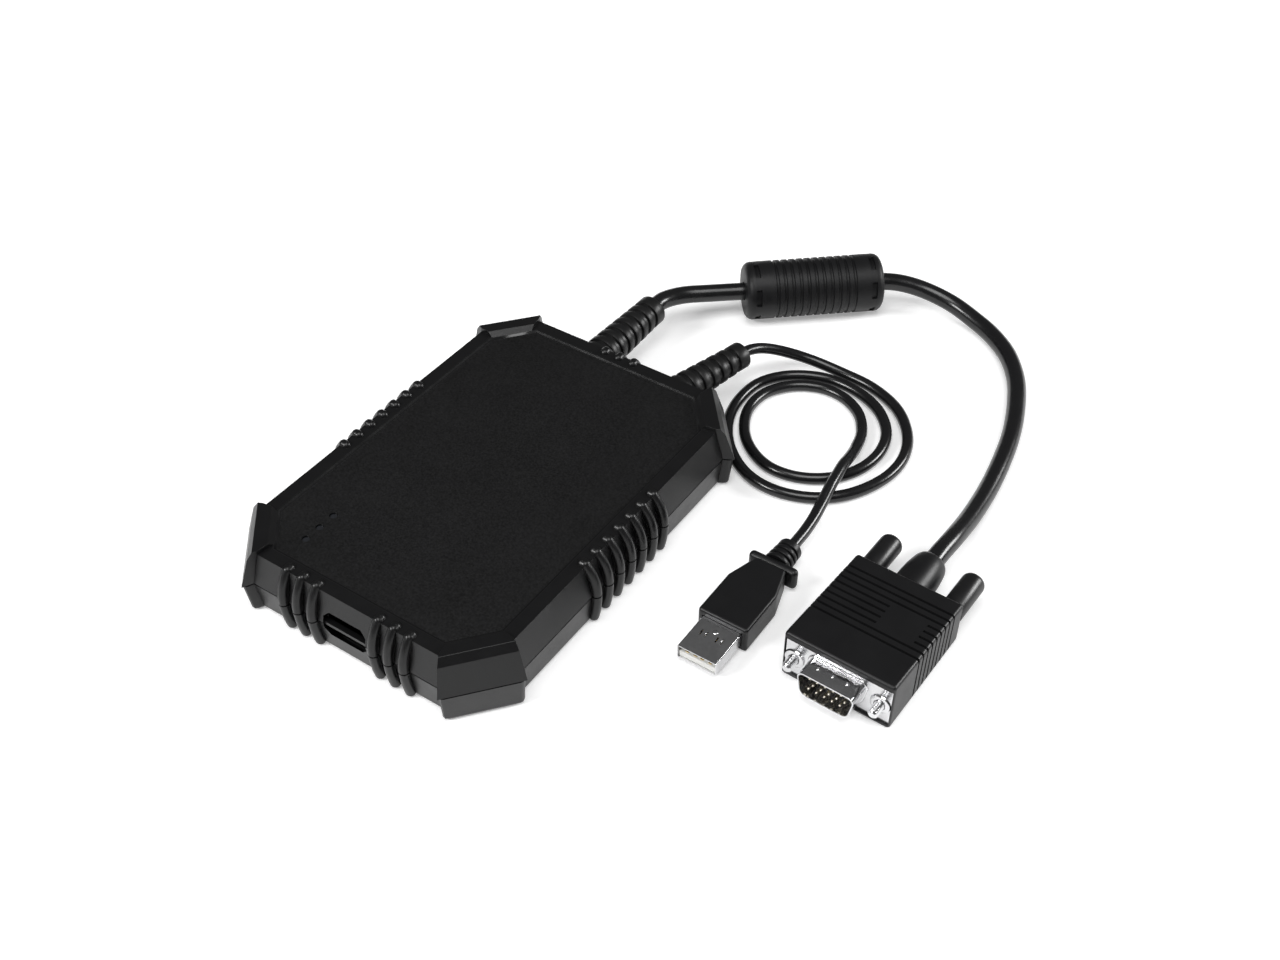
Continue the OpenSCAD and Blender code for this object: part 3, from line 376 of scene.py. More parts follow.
def walls_and_panel(gap, top_w=rim_w, rounding=0.7):
    """The shell of one half without bumpers and ribs, from gap mm above the parting line.
    Its panel is the second finish and the slope down to it the third."""
    bm = bmesh.new()
    bulge = outer_wall - top_w
    lean = bulge / (rim_z - mid_z)
    outside = octagon(bm, outer_wall - lean * gap, mid_z + gap)
    foot = list(outside.edges)
    crest = step_in(bm, outside, bulge - lean * gap, rim_z - mid_z - gap)
    brow = step_in(bm, outside, top_w - (rim_z - panel_z), 0)
    hem = step_in(bm, outside, rim_z - panel_z, panel_z - rim_z)
    for edge in hem:
        for face in edge.link_faces:
            face.material_index = 2
    outside.material_index = 1
    inside = octagon(bm, outer_wall - wall_t, mid_z + gap)
    lip = list(inside.edges)
    step_in(bm, inside, bulge, panel_z - panel_t - mid_z - gap)
    bmesh.ops.bridge_loops(bm, edges=foot + lip)
    bmesh.ops.recalc_face_normals(bm, faces=bm.faces)
    soften(bm, crest, rounding, 4)
    soften(bm, brow, 0.25, 2)
    soften(bm, hem, 0.3, 2)
    return bm


def frustum(low, low_z, high, high_z):
    """A closed octagonal form between two levels, for cutting."""
    bm = bmesh.new()
    wide, wide_z, narrow, narrow_z = ((high, high_z, low, low_z) if high > low
                                      else (low, low_z, high, high_z))
    face = octagon(bm, wide, wide_z)
    rim = list(face.edges)
    step_in(bm, face, wide - narrow, narrow_z - wide_z)
    bmesh.ops.contextual_create(bm, geom=rim)
    bmesh.ops.recalc_face_normals(bm, faces=bm.faces)
    return bm


def bumper_outline(reach, wall):
    """One corner's bumper in plan: reach is how far it stands out, wall how far the wall does."""
    s, e = corner_ends(reach)
    back = bumper_end * (reach - wall)
    return [s, e, (e[0] - back, half_l + wall), (e[0] - back, half_l - cut_l),
            (half_w - cut_w, s[1] - back), (half_w + wall, s[1] - back)]


def corner_bumper(levels, rounding):
    """A bumper from its levels of (reach, wall's reach, height), its upper edges rounded."""
    bm = bmesh.new()
    for reach, wall, z in levels:
        for x, y in bumper_outline(reach, wall):
            bm.verts.new((x, y, z))
    bmesh.ops.convex_hull(bm, input=bm.verts)
    bmesh.ops.dissolve_limit(bm, angle_limit=math.radians(1), verts=bm.verts, edges=bm.edges)
    bmesh.ops.recalc_face_normals(bm, faces=bm.faces)
    shown = [e for e in sharp_edges(bm, 10) if any(v.co.z > mid_z + 1 for v in e.verts)]
    soften(bm, shown, rounding, 3)
    recess = frustum(-0.37, panel_z - 0.4, 3.13, case_h + 1)
    hollow = frustum(6.2, mid_z - 1, 3.7, panel_z - 1)
    bm = carved(bm, recess, hollow)
    crest = [e for e in sharp_edges(bm, 30) if all(v.co.z > case_h - 0.02 for v in e.verts)]
    soften(bm, crest, 0.3, 2)
    return bm


def grip_rib(reach, arc):
    """Half of a rib that arcs over the wall at +X, with round ends. On the upper half it
    goes on level for a little, onto the rim."""
    middle = reach + rib_proud - rib_r - arc
    swing = math.asin((mid_z - 1.6) / arc)
    end = middle + arc * math.cos(swing)
    bm = bmesh.new()
    ring = bmesh.ops.create_circle(bm, segments=16, radius=rib_r,
                                   matrix=Matrix.Translation((middle + arc, 0, mid_z)))
    edges = list({e for v in ring["verts"] for e in v.link_edges})
    bmesh.ops.spin(bm, geom=ring["verts"] + edges, cent=(middle, 0, mid_z), axis=(0, -1, 0),
                   angle=swing, steps=9)
    rims = [e for e in bm.edges if e.is_boundary]
    bmesh.ops.edgeloop_fill(bm, edges=rims)
    bmesh.ops.recalc_face_normals(bm, faces=bm.faces)
    ball(bm, rib_r, (end, 0, mid_z + arc * math.sin(swing)))
    if arc == upper_rib_arc:
        start, level = reach - outer_wall + rib_start, mid_z + rib_level
        ball(bm, rib_r, (start, 0, level))
        bmesh.ops.create_cone(bm, cap_ends=True, segments=16, radius1=rib_r, radius2=rib_r,
                              depth=end - start,
                              matrix=Matrix.Translation(((start + end) / 2, 0, level))
                              @ Matrix.Rotation(math.pi / 2, 4, "Y"))
    return bm


def turn_z(degrees):
    return Matrix.Rotation(math.radians(degrees), 4, "Z")


def bumpers_and_ribs(levels, rounding, arc):
    parts = []
    for sx in (1, -1):
        for sy in (1, -1):
            corner = placed(corner_bumper(levels, rounding), Matrix.Diagonal((sx, sy, 1, 1)))
            if sx * sy < 0:
                bmesh.ops.reverse_faces(corner, faces=corner.faces)
            parts.append(corner)
    for y in side_rib_places:
        for side in (0, 180):
            parts.append(placed(grip_rib(case_half_w, arc), turn_z(side),
                                Matrix.Translation((0, y, 0))))
    for x in front_rib_places:
        for sx in (-1, 1):
            parts.append(placed(grip_rib(case_half_l, arc), turn_z(-90),
                                Matrix.Translation((sx * x, 0, 0))))
    for x in rear_rib_places:
        parts.append(placed(grip_rib(case_half_l, arc), turn_z(90),
                            Matrix.Translation((x, 0, 0))))
    return joined(*parts)


def wall_cutters():
    """The socket's opening with its cut corners, and the holes of the two reliefs."""
    w, h, c = port_half_w, port_half_h, port_cut
    port = prism([(x, -70, mid_z + z) for x, z in (
        (-w, h - c), (c - w, h), (w - c, h), (w, h - c), (w, c - h), (w - c, -h), (c - w, -h),
        (-w, c - h))], (0, 14, 0))
    holes = [placed(bar(r, 12), Matrix.Rotation(-math.pi / 2, 4, "X"),
                    Matrix.Translation((x, 57, mid_z)))
             for x, r in ((vga_exit_x, 4.45), (usb_exit_x, 3.75))]
    return [port, *holes]


light_places = [(-25.3, -38.9 - i * 5.35) for i in range(3)]
light_holes = joined(*(bar(1.15, 6, (x, y, panel_z - 4)) for x, y in light_places))
upper = carved(walls_and_panel(0), *wall_cutters(), light_holes)
bosses = joined(*(bar(boss_r, panel_z - panel_t - board_top, (x, y, board_top + 0.15))
                  for x, y in boss_places))
case_plastic = surface("case_plastic", (0.0045, 0.0045, 0.0048), 0.33, 0.35, 0.014,
                       Specular_IOR_Level=0.4)


def sandy(wire, place):
    """Spark-eroded texture: rounded grains of about half a millimetre."""
    grains = wire.node("TexVoronoi", {"feature": "SMOOTH_F1"},
                       {"Vector": place, "Scale": 1 / (0.6 * MM), "Smoothness": 0.6})
    fine = noise(wire, place, 0.5, 3)
    drift = noise(wire, place, 14, 3)
    height = grains * 0.7 + fine * 0.5
    return {
        "Base Color": (drift * 0.3 + fine * 1.6 - 0.45).mix((0.001, 0.001, 0.001, 1),
                                                            (0.012, 0.012, 0.0124, 1)),
        "Roughness": (fine - 0.5) * 0.2 + (drift - 0.5) * 0.08 + 0.55,
        "Normal": bump(wire, height, 0.11),
    }


panel_plastic = painted("panel_plastic", sandy, Specular_IOR_Level=0.2)
slope_plastic = surface("slope_plastic", (0.006, 0.006, 0.0063), 0.2, 0.5, 0.006)
mid_level = (bumper_w + bumper_bulge, outer_wall, mid_z)
shoulder_level = (7.7, 5.3, 19.2)
top_level = (bumper_w - 0.2, rim_w, case_h)
trim = bumpers_and_ribs([mid_level, shoulder_level, top_level], 0.9, upper_rib_arc)
finished("upper_case", joined(upper, trim, bosses),
         [case_plastic, panel_plastic, slope_plastic], nodes=["upper_shell"])

# The lower half, made upside down: more upright walls and bumpers with a rounded foot, a
# groove under the parting line, pads that carry the board, and pockets in its panel for the
# four screws that close the case.
parting_gap, parting_deep = 0.45, 0.6
foot_w, bumper_foot_w = 6.2, 9.2
pocket_r, pocket_z = 2.55, 17.4
pad_r, pad_z = 2.6, case_h - 7.15
over = Matrix.Translation((0, 0, case_h)) @ Matrix.Diagonal((1, 1, -1, 1))


def sliced(bm, z):
    """What is above z, with its cut closed again."""
    cut = bmesh.ops.bisect_plane(bm, geom=everything(bm), dist=1e-5, plane_co=(0, 0, z),
                                 plane_no=(0, 0, 1), clear_inner=True)
    edges = [e for e in cut["geom_cut"] if isinstance(e, bmesh.types.BMEdge)]
    bmesh.ops.edgeloop_fill(bm, edges=edges)
    return bm


def groove_floor():
    """The step that shows as the groove's back, round the walls and the bumpers."""
    wall = outer_wall - parting_deep
    parts = [carved(frustum(wall, mid_z - 1, wall - 0.01, mid_z + 1),
                    frustum(5.1, mid_z - 2, 5.09, mid_z + 2))]
    outline = bumper_outline(bumper_w + bumper_bulge - parting_deep, wall)
    for sx in (1, -1):
        for sy in (1, -1):
            floor = prism([(x * sx, y * sy, mid_z) for x, y in outline], (0, 0, 0.6))
            parts.append(carved(floor, frustum(6.2, mid_z - 1, 6.19, mid_z + 2)))
    return joined(*parts)


pockets = joined(*(bar(pocket_r, 3, (x, y, pocket_z)) for x, y in boss_places))
lower = carved(walls_and_panel(parting_gap, foot_w, 1.8), *wall_cutters(), pockets)
rests = joined(*(bar(boss_r, 4.6, (x, y, pad_z)) for x, y in boss_places),
               *(bar(pad_r, 4, (0, y, pad_z)) for y in (-30, 30)))
rests = carved(rests, joined(*(bar(pocket_r, 8, (x, y, pocket_z)) for x, y in boss_places)))
trim = bumpers_and_ribs([mid_level, (bumper_foot_w, foot_w, case_h)], 2.2, lower_rib_arc)
bottom = placed(joined(lower, sliced(trim, mid_z + parting_gap),
                       sliced(groove_floor(), mid_z), rests), over)
bmesh.ops.reverse_faces(bottom, faces=bottom.faces)
finished("lower_case", bottom, [case_plastic, panel_plastic, slope_plastic],
         nodes=["lower_shell"])

# The lights and the socket behind the case. The three light pipes are smoked acrylic that
# ends just under the panel, and the socket is a nickel-plated can round a black tongue.
def dressed(node, finish):
    """Give a CAD node its finish."""
    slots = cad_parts[node].material_slots
    if not slots:
        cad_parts[node].data.materials.append(finish)
    for held in slots:
        held.material = finish


smoked = surface("smoked_acrylic", (0.012, 0.013, 0.016), 0.12, 3, 0.01, Coat_Weight=0.6)
dressed("light_pipes", smoked)


def plated(name, colour, roughness):
    """Bright plating over drawn sheet, with flat streaks in its gloss."""

    def look(wire, place):
        along = wire.node("Mapping", {}, {"Vector": place, "Scale": (1, 1, 12)})
        streaks = noise(wire, along, 1.2, 4)
        drift = noise(wire, place, 5, 2)
        return {
            "Base Color": drift.mix(tint(colour, 0.88), tint(colour, 1.06)),
            "Roughness": (streaks - 0.5) * 0.22 + (drift - 0.5) * 0.1 + roughness,
            "Normal": bump(wire, streaks, 0.003),
        }

    return painted(name, look, Metallic=1.0)


nickel = plated("nickel_plating", (0.74, 0.74, 0.75), 0.2)
gold = plated("gold_plating", (0.83, 0.62, 0.27), 0.22)
black_insulator = surface("black_insulator", (0.006, 0.006, 0.007), 0.35, 0.5, 0.01)
white_insulator = surface("white_insulator", (0.8, 0.8, 0.77), 0.4, 0.6, 0.01, spread=0.05)
dressed("mini_usb_can", nickel)
dressed("mini_usb_tongue", black_insulator)
dressed("mini_usb_contacts", gold)

# Inside the case: a green board with printed tracks, its chips, tin-plated cans, ivory nylon
# headers and their housings, the lead bundles, and zinc-plated screws.
def tracked(wire, place):
    """Solder mask over copper tracks, which show as paler lines."""
    bends = noise(wire, place, 9, 1)
    lines = wire.node("TexWave", {"bands_direction": "DIAGONAL"},
                      {"Vector": place, "Scale": 1 / (5 * MM), "Distortion": 2.5})
    track = (lines > 0.72) * (bends > 0.42)
    return {
        "Base Color": track.mix((0.012, 0.1, 0.035, 1), (0.03, 0.2, 0.07, 1)),
        "Roughness": bends * 0.15 + 0.25,
        "Normal": bump(wire, track, 0.03),
    }


dressed("main_board", painted("solder_mask", tracked))
zinc = plated("zinc_plating", (0.5, 0.5, 0.53), 0.34)
tin_can = plated("tin_can", (0.6, 0.6, 0.62), 0.28)
epoxy = surface("chip_epoxy", (0.016, 0.016, 0.016), 0.5, 0.2, 0.01)
nylon = surface("ivory_nylon", (0.75, 0.72, 0.62), 0.45, 0.4, 0.01, spread=0.06)
for finish, nodes in (
        (zinc, ["case_screws", "board_screws"]),
        (epoxy, ["capture_chip", "usb_bridge_chip", "memory_chip"]),
        (tin_can, ["clock_crystal", "power_capacitors"]),
        (nylon, ["video_header", "video_wire_housing", "usb_header", "usb_wire_housing"]),
        (surface("red_leads", (0.25, 0.03, 0.03), 0.4, 0.5, 0.02),
         ["video_lead_bundle", "usb_lead_bundle"]),
        (surface("clear_led", (0.8, 0.78, 0.6), 0.2, 0.5, 0.01), ["indicator_leds"])):
    for node in nodes:
        dressed(node, finish)

# The ringed reliefs that carry the cords out of the rear wall: soft black PVC, moulded over
# the cord as thick rings with slots between them, and a plain collar at the end.
relief_root = case_half_l + 0.15
ring_proud = 0.55
relief_rubber = surface("relief_rubber", (0.006, 0.006, 0.0062), 0.4, 0.5, 0.02, 7,
                        Specular_IOR_Level=0.4)


def turned(profile, steps=48):
    """A closed form turned about Z from its profile of (radius, height)."""
    bm = bmesh.new()
    verts = [bm.verts.new((r, 0, z)) for r, z in profile]
    edges = [bm.edges.new(pair) for pair in zip(verts, verts[1:])]
    bmesh.ops.spin(bm, geom=verts + edges, cent=(0, 0, 0), axis=(0, 0, 1), angle=2 * math.pi,
                   steps=steps, use_merge=True)
    bmesh.ops.remove_doubles(bm, verts=bm.verts, dist=1e-4)
    bmesh.ops.recalc_face_normals(bm, faces=bm.faces)
    return bm


def ringed_profile(length, root, end, rings, proud=ring_proud, soft=0.22, share=0.55):
    """The outline of a tapering relief: a band and a slot for each ring."""
    pitch, found = length / rings, [(0, 0)]
    for i in range(rings):
        core = root + (end - root) * i / rings
        out, inn, z = core + proud, core - proud / 2, i * pitch
        band = pitch * (share if i < rings - 1 else 1)
        found += [(out - soft, z), (out - soft * 0.3, z + soft * 0.3), (out, z + soft),
                  (out, z + band - soft), (out - soft * 0.3, z + band - soft * 0.3),
                  (out - soft, z + band)]
        if i < rings - 1:
            found += [(inn, z + band), (inn, z + pitch)]
    return found + [(0, length)]


ALONG_Y = Matrix.Rotation(-math.pi / 2, 4, "X")
for name, x, length, root, end, neck, rings, turn in (
        ("vga_relief", vga_exit_x, 33, 5.4, 4.3, 4.3, 8, 0),
        ("usb_relief", usb_exit_x, 29.5, 4.8, 3.6, 3.6, 7, 13)):
    clear = (root + ring_proud) * math.sin(math.radians(turn))
    sleeve = placed(turned(ringed_profile(length - clear, root, end, rings)),
                    Matrix.Translation((0, 0, clear)), ALONG_Y, turn_z(-turn),
                    Matrix.Translation((x, relief_root, mid_z)))
    plug = placed(turned([(0, -9), (neck, -9), (neck, 0), (root, 0), (root, root / 2),
                          (0, root / 2)], 32),
                  ALONG_Y, Matrix.Translation((x, relief_root, mid_z)))
    finished(name, joined(sleeve, plug), [relief_rubber],
             nodes=[name.replace("relief", "strain_relief")], weigh=False)

# The ferrite bead: a ground grey ferrite sleeve over the cord, in a moulded black cover
# with fine rings round its middle and a row of slots near each end.
bead_at = (24, 138.9, 9.8)
bead_turn = math.atan2(20.8, 24)
bead_r, bead_l, bead_round = 9.6, 46, 2.4
bead_rings, ring_deep = 11, 0.5
slot_from, slot_to, slot_deep = 18.4, 20.2, 0.8
core_r, core_half_l = 8.25, 17.2


def bead_profile():
    half, found = bead_l / 2, []
    pitch = 0.62 * bead_l / bead_rings
    bore = vga_cord_d / 2 + 0.2
    for a in range(5):
        found.append((bead_r - bead_round + bead_round * math.sin(a * math.pi / 8),
                      -half + bead_round - bead_round * math.cos(a * math.pi / 8)))
    found += [(bead_r, -slot_to), (bead_r, -slot_from)]
    for i in range(bead_rings):
        z = (i - bead_rings // 2) * pitch
        found += [(bead_r, z - 0.6), (bead_r - 0.45, z - 0.35), (bead_r - ring_deep, z),
                  (bead_r - 0.45, z + 0.35), (bead_r, z + 0.6)]
    found += [(bead_r, slot_from), (bead_r, slot_to)]
    found += [(r, -z) for r, z in reversed(found[:5])]
    found += [(bore, half), (bore, core_half_l), (core_r, core_half_l),
              (core_r, -core_half_l), (bore, -core_half_l), (bore, -half)]
    return found + [found[0]]


def in_slot(face, side, middle):
    """Whether a face of the cover lies in the slot round the angle middle, near an end."""
    at = face.calc_center_median()
    return (abs(at.z - side * (slot_from + slot_to) / 2) < 0.4 and math.hypot(*at.xy) > 9
            and math.cos(math.atan2(at.y, at.x) - middle) > math.cos(math.radians(19)))


cover = turned(bead_profile(), 72)
for side in (-1, 1):
    for i in range(6):
        middle = math.radians(i * 60 + 12.5)
        slot = [f for f in cover.faces if in_slot(f, side, middle)]
        bmesh.ops.inset_region(cover, faces=slot, thickness=0.12, depth=-slot_deep,
                               use_even_offset=True)
placed(cover, Matrix.Rotation(math.pi / 2, 4, "Y"), Matrix.Rotation(bead_turn, 4, "Z"),
       Matrix.Translation(bead_at))
bead_plastic = surface("bead_plastic", (0.0055, 0.0055, 0.006), 0.45, 0.3, 0.02, 5,
                       Specular_IOR_Level=0.3)
finished("bead_cover", cover, [bead_plastic], nodes=["ferrite_cover"],
         weigh=False)
dressed("ferrite_core", surface("ferrite", (0.04, 0.04, 0.043), 0.55, 0.2, 0.03))

# The video plug's hood: black PVC moulded over the plug and the cord in one go. It is
# smooth in front, with grip grooves over its top and sides behind, a bare patch among
# them, and a round collar where the cord leaves.
plug_z = 7.6
hood_w, hood_l, hood_h, hood_rear_h = 32, 37.5, 16, 13.6
screw_x, screw_hole_r = 12.5, 1.68
groove_half, groove_deep = 0.4, 0.65
grooves = [hood_l * 0.3 + (i + 0.5) * hood_l * 0.58 / 9 for i in range(9)]
bare_from, bare_to = 0.9, 11.9
AT_VGA = Matrix.Translation((111.4, -4.4, 0)) @ turn_z(-2)
moulding = surface("plug_moulding", (0.0055, 0.0055, 0.006), 0.38, 0.3, 0.012, 8,
                   Specular_IOR_Level=0.35)


def at_y(x, y):
    """From along Z to back along the plug's own Y at (x, y)."""
    return Matrix.Translation((x, y, plug_z)) @ ALONG_Y


def scored(bm, place, normal):
    """Cut a line of new edges round bm, through place."""
    bmesh.ops.bisect_plane(bm, geom=everything(bm), dist=1e-5, plane_co=place, plane_no=normal)


def hood():
    bm = block((hood_w, hood_l, hood_h), (0, hood_l / 2, hood_h / 2))
    for v in bm.verts:
        if v.co.y > 1 and v.co.z > 1:
            v.co.z = hood_rear_h
    soften(bm, bm.edges[:], 1.0)
    recess = block((31.1, 2.2, 12.8), (0, 0, plug_z))
    bores = [placed(bar(screw_hole_r, 60, (0, 0, -5)), at_y(x, 0)) for x in (-screw_x, screw_x)]
    bm = carved(bm, recess, placed(bar(4.3, 5), at_y(0, 1)), *bores)
    for y in grooves:
        scored(bm, (0, y - groove_half, 0), (0, 1, 0))
        scored(bm, (0, y + groove_half, 0), (0, 1, 0))
    for x in (bare_from, bare_to):
        scored(bm, (x, 0, 0), (1, 0, 0))
    bm.normal_update()
    for i, y in enumerate(grooves):
        strips = []
        for f in bm.faces:
            at, n = f.calc_center_median(), f.normal
            round_the_bore = math.hypot(at.z - plug_z, abs(at.x) - screw_x) < 2 or (
                math.hypot(at.x, at.z - plug_z) < 4.5)
            bare = 2 <= i <= 5 and bare_from < at.x < bare_to and n.z > 0.5
            if abs(at.y - y) < groove_half - 0.01 and n.z > -0.3 and not (round_the_bore or bare):
                strips.append(f)
        bmesh.ops.inset_region(bm, faces=strips, thickness=0.12, depth=-groove_deep,
                               use_even_offset=True)
    return bm


collar = turned([(0, -1), (5.6, -1), (5.6, 0), (5.55, 5), (5.4, 8), (5.1, 10.5), (4.8, 12.2),
                 (4.4, 13.2), (3.9, 13.5), (2.9, 13.4), (2.9, 6), (0, 6)])
finished("video_hood", placed(joined(hood(), placed(collar, at_y(0, hood_l))), AT_VGA),
         [moulding], nodes=["vga_hood"])

# The plug's front: a nickel-plated steel flange with a drawn D-shaped skirt, three dimples
# pressed into the skirt's top, and plated surrounds where the jackscrews pass.
flange_y, flange_t = 0.6, 0.5
skirt_half_w, skirt_half_h, skirt_t, skirt_l = 8.45, 4.15, 0.5, 5.9


def d_prism(inset, y, depth):
    """The skirt's D outline, inset mm inside it, pulled from y towards +Y."""
    w, h, lean = skirt_half_w - inset, skirt_half_h - inset, math.tan(math.radians(10))
    corners = [(-w, h), (w, h), (w - 2 * h * lean, -h), (2 * h * lean - w, -h)]
    bm = bmesh.new()
    face = bm.faces.new([bm.verts.new((x, y, plug_z + z)) for x, z in corners])
    bmesh.ops.bevel(bm, geom=list(face.verts), offset=2.2 - inset, offset_type="OFFSET",
                    segments=6, profile=0.5, affect="VERTICES", material=-1)
    pulled(bm, bm.faces[:], (0, depth, 0))
    bmesh.ops.recalc_face_normals(bm, faces=bm.faces)
    return bm


skirt = carved(d_prism(0, -skirt_l, 6.6), d_prism(skirt_t, -7, 9))
front = [e for e in sharp_edges(skirt, 40) if all(v.co.y < 0.1 - skirt_l for v in e.verts)]
soften(skirt, front, 0.15, 2)
root = carved(d_prism(-0.7, 0.1, 0.6), d_prism(0.3, -1, 4))
soften(root, [e for e in sharp_edges(root, 40) if all(v.co.y < 0.2 for v in e.verts)], 0.3, 3)
plate = block((30.8, flange_t, 12.5), (0, flange_y + flange_t / 2, plug_z), 0.15)
plate = carved(plate, d_prism(skirt_t, -1, 4),
               *(placed(bar(screw_hole_r, 4), at_y(x, -1)) for x in (-screw_x, screw_x)))
surrounds = [placed(turned([(screw_hole_r, 0.9), (screw_hole_r, 0), (2.3, 0), (2.75, 0.25),
                            (3, 0.9), (screw_hole_r, 0.9)], 40), at_y(x, -0.2))
             for x in (-screw_x, screw_x)]
dimples = [ball(bmesh.new(), 0.7, (x, -2.35, plug_z + skirt_half_h - 0.35)) for x in (-4.2, 0, 4.2)]
finished("video_flange", placed(joined(skirt, root, plate, *surrounds, *dimples), AT_VGA),
         [nickel], nodes=["vga_flange"])
dressed("vga_insulator", black_insulator)
pin_pitch, pin_rows_apart = 2.29, 1.98
pins = []
for row in (-1, 0, 1):
    for i in range(5):
        x = (i - 2) * pin_pitch + (pin_pitch / 2 if row == 0 else 0) - pin_pitch / 4
        pins.append(placed(turned([(0, 0), (0.18, 0.03), (0.32, 0.2), (0.38, 0.5), (0.38, 5.8),
                                   (0, 5.8)], 16),
                           Matrix.Translation((x, -4.8, plug_z + row * pin_rows_apart)) @ ALONG_Y))
pale_gold = plated("pin_plating", (0.88, 0.83, 0.7), 0.25)
finished("video_pins", placed(joined(*pins), AT_VGA), [pale_gold],
         nodes=["vga_pins"])

# The two thumbscrews: plated steel jackscrews that turn freely through the hood, their
# heads moulded over with long black knobs. Each rides on a body of its own.
knob_finish = surface("knob_plastic", (0.006, 0.006, 0.0063), 0.34, 0.4, 0.01, 6)
thread_r, thread_core_r, thread_pitch = 1.42, 1.18, 0.4
shank_r = 1.6


def thumbscrew(x):
    """The profiles of a screw's thread, shank and knob, turned and put in the plug."""
    thread = [(0, -4), (0.9, -4), (1.25, -3.7)]
    for i in range(9):
        z = -3.6 + i * thread_pitch
        thread += [(thread_r, z + 0.1), (thread_r, z + 0.16), (thread_core_r, z + 0.3)]
    thread += [(thread_r, 0.2), (thread_r, 0.6), (0, 0.6)]
    shank = [(0, 0.6), (shank_r, 0.6), (shank_r, hood_l + 0.4), (0, hood_l + 0.4)]
    end = hood_l + 0.3
    knob = [(0, end), (3.1, end), (3.32, end + 0.12), (3.4, end + 0.35), (3.4, end + 12.9),
            (3.3, end + 13.5), (3.05, end + 14.0), (2.7, end + 14.3), (2.2, end + 14.5),
            (0, end + 14.5)]
    turns = (at_y(x, 0), AT_VGA)
    return [placed(turned(p, 32), *turns) for p in (thread, shank, knob)]


for name, x in (("left", -screw_x), ("right", screw_x)):
    thread, shank, knob = thumbscrew(x)
    finished(name + "_jackscrew", joined(thread, shank), [nickel], body=name + "_screw",
             weigh=False)
    finished(name + "_knob", knob, [knob_finish], body=name + "_screw",
             nodes=[name + "_thumbscrew"], weigh=False)

# The USB plug: a nickel-plated skirt with two sprung windows and a round dimple, round a
# white tongue with four contacts, in a black moulding that narrows to a neck between two
# ears, with a ringed relief behind them.
AT_USB = Matrix.Translation((77, -15.8, 4.2))
usb_w, usb_h, usb_l, usb_t = 12, 4.5, 12.4, 0.3
shell = block((usb_w, usb_l + 4, usb_h), (0, (usb_l + 4) / 2, 0))
soften(shell, [e for e in shell.edges if abs(e.verts[0].co.y - e.verts[1].co.y) > 1], 0.5, 4)
window_x = 2.4
windows = [block((2, 2, 8), (sx * window_x, usb_l / 2 + 1, 0)) for sx in (-1, 1)]
shell = carved(shell, block((usb_w - 2 * usb_t, 40, usb_h - 2 * usb_t), (0, 10, 0)), *windows)
springs = [placed(block((1.2, 2.3, 0.22), (0, 0, 0), 0.05, 1),
                  Matrix.Rotation(math.radians(tilt * 7), 4, "X"),
                  Matrix.Translation((sx * window_x, usb_l / 2 + 0.9, tilt * 2.1)))
           for sx in (-1, 1) for tilt in (-1, 1)]
dimple = bmesh.new()
bmesh.ops.create_uvsphere(dimple, u_segments=16, v_segments=8, radius=0.75,
                          matrix=Matrix.Translation((0, 9.2, usb_h / 2))
                          @ Matrix.Diagonal((1, 1, 0.25, 1)))
finished("usb_skirt", placed(joined(shell, *springs, dimple), AT_USB), [nickel],
         nodes=["usb_plug_skirt"])
dressed("usb_plug_tongue", white_insulator)
dressed("usb_plug_contacts", gold)
body_w, body_l, body_h = 15.2, 15.5, 8.4
neck_w, neck_l = 9.5, 10
ears_l, tail_l = 2.8, 8.3
ears_from = usb_l + body_l + neck_l


def usb_body():
    """The wide part and the neck behind it, hollow for the skirt and the tongue."""
    bm = block((body_w, body_l, body_h), (0, usb_l + body_l / 2, 0))
    bm.normal_update()
    back = max(bm.faces, key=lambda f: f.normal.y)
    neck = pulled(bm, [back], (0, neck_l, 0))
    bmesh.ops.scale(bm, vec=(neck_w / body_w, 1, 0.9), verts=neck)
    bmesh.ops.delete(bm, geom=[f for f in bm.faces
                               if abs(f.calc_center_median().y - usb_l - body_l) < 0.01
                               and abs(f.normal.y) > 0.9], context="FACES_ONLY")
    bmesh.ops.recalc_face_normals(bm, faces=bm.faces)
    soften(bm, sharp_edges(bm, 12), 0.9)
    return carved(bm, block((12.3, 33, 4.8), (0, 0.05, 0)))


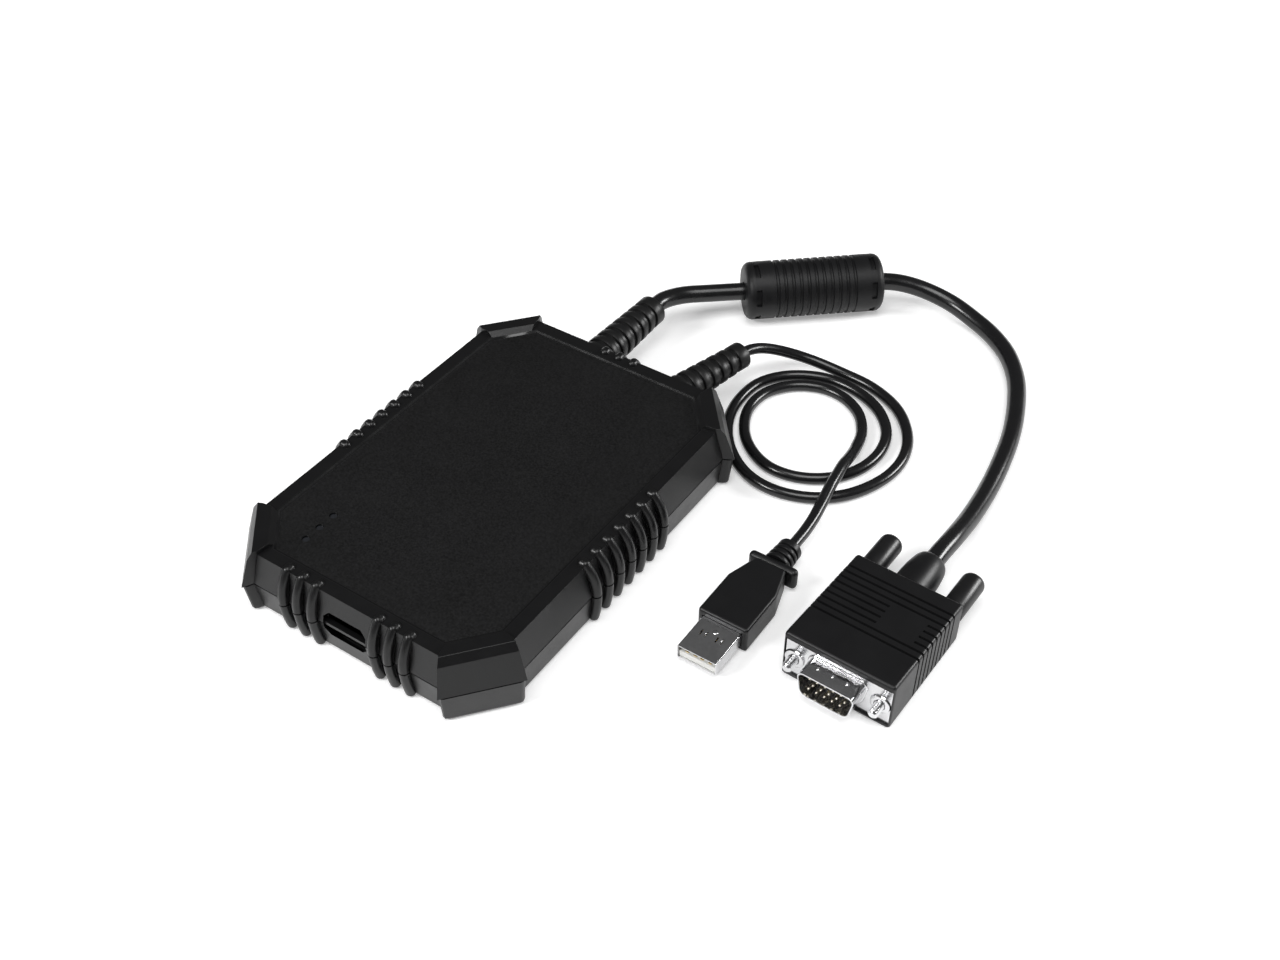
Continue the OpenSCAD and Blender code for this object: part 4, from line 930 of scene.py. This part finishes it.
ears = block((15, ears_l, 6.6), (0, ears_from + ears_l / 2, 0), 1.25, 4)
tail = placed(turned(ringed_profile(tail_l, 3.6, 2.9, 4, 0.5, 0.25, 0.6)), ALONG_Y,
              Matrix.Translation((0, ears_from + ears_l, 0)))
finished("usb_moulding", placed(joined(usb_body(), ears, tail), AT_USB), [moulding],
         nodes=["usb_plug_body"])

# Daylight. A large soft box hangs to the front right, with smaller ones at the rear right
# and the front left, whose reflections draw the bright lines along the slopes of the rim.
studio = bpy.data.worlds.new("studio")
bpy.context.scene.world = studio
studio.use_nodes = True
sky = studio.node_tree.nodes["Background"]
sky.inputs["Color"].default_value = (1, 1, 1, 1)
sky.inputs["Strength"].default_value = 0.11


def soft_box(name, place, target, size, power):
    lamp = bpy.data.lights.new(name, "AREA")
    lamp.shape, lamp.size, lamp.size_y, lamp.energy = "RECTANGLE", size[0], size[1], power
    held = bpy.data.objects.new(name, lamp)
    held.location = place
    held.rotation_euler = (Vector(target) - Vector(place)).to_track_quat("-Z", "Y").to_euler()
    bpy.context.collection.objects.link(held)


soft_box("overhead", (0.25, -0.25, 1.1), (0.03, 0.03, 0), (0.7, 0.7), 8)
soft_box("rear_right", (0.75, 0.72, 0.44), (0.03, 0.03, 0.02), (0.45, 0.25), 7)
soft_box("front_left", (-0.45, -0.75, 0.7), (0.03, 0.03, 0.02), (0.4, 0.3), 8)

# The white table that everything lies on, with a glow that keeps it white in the picture
table = bmesh.new()
bmesh.ops.create_grid(table, x_segments=1, y_segments=1, size=3)
table_mesh = bpy.data.meshes.new("table")
table.to_mesh(table_mesh)
table.free()
ground = bpy.data.objects.new("table", table_mesh)
bpy.context.collection.objects.link(ground)
white = bpy.data.materials.new("white_table")
white.use_nodes = True
paper = Wire(white.node_tree)
rays = paper.node("LightPath", out="Is Camera Ray")
mirror = paper.node("LightPath", out="Is Glossy Ray")
lit = paper.node("BsdfDiffuse", {}, {"Color": (0.86, 0.86, 0.86, 1)})
glow = paper.node("Emission", {}, {"Color": (1, 1, 1, 1), "Strength": rays * 0.3 + mirror * 0.18})
both = paper.node("AddShader", {}, {0: lit, 1: glow})
white.node_tree.links.new(both.socket, white.node_tree.nodes["Material Output"].inputs[0])
table_mesh.materials.append(white)

bpy.context.scene.view_settings.view_transform = "Standard"
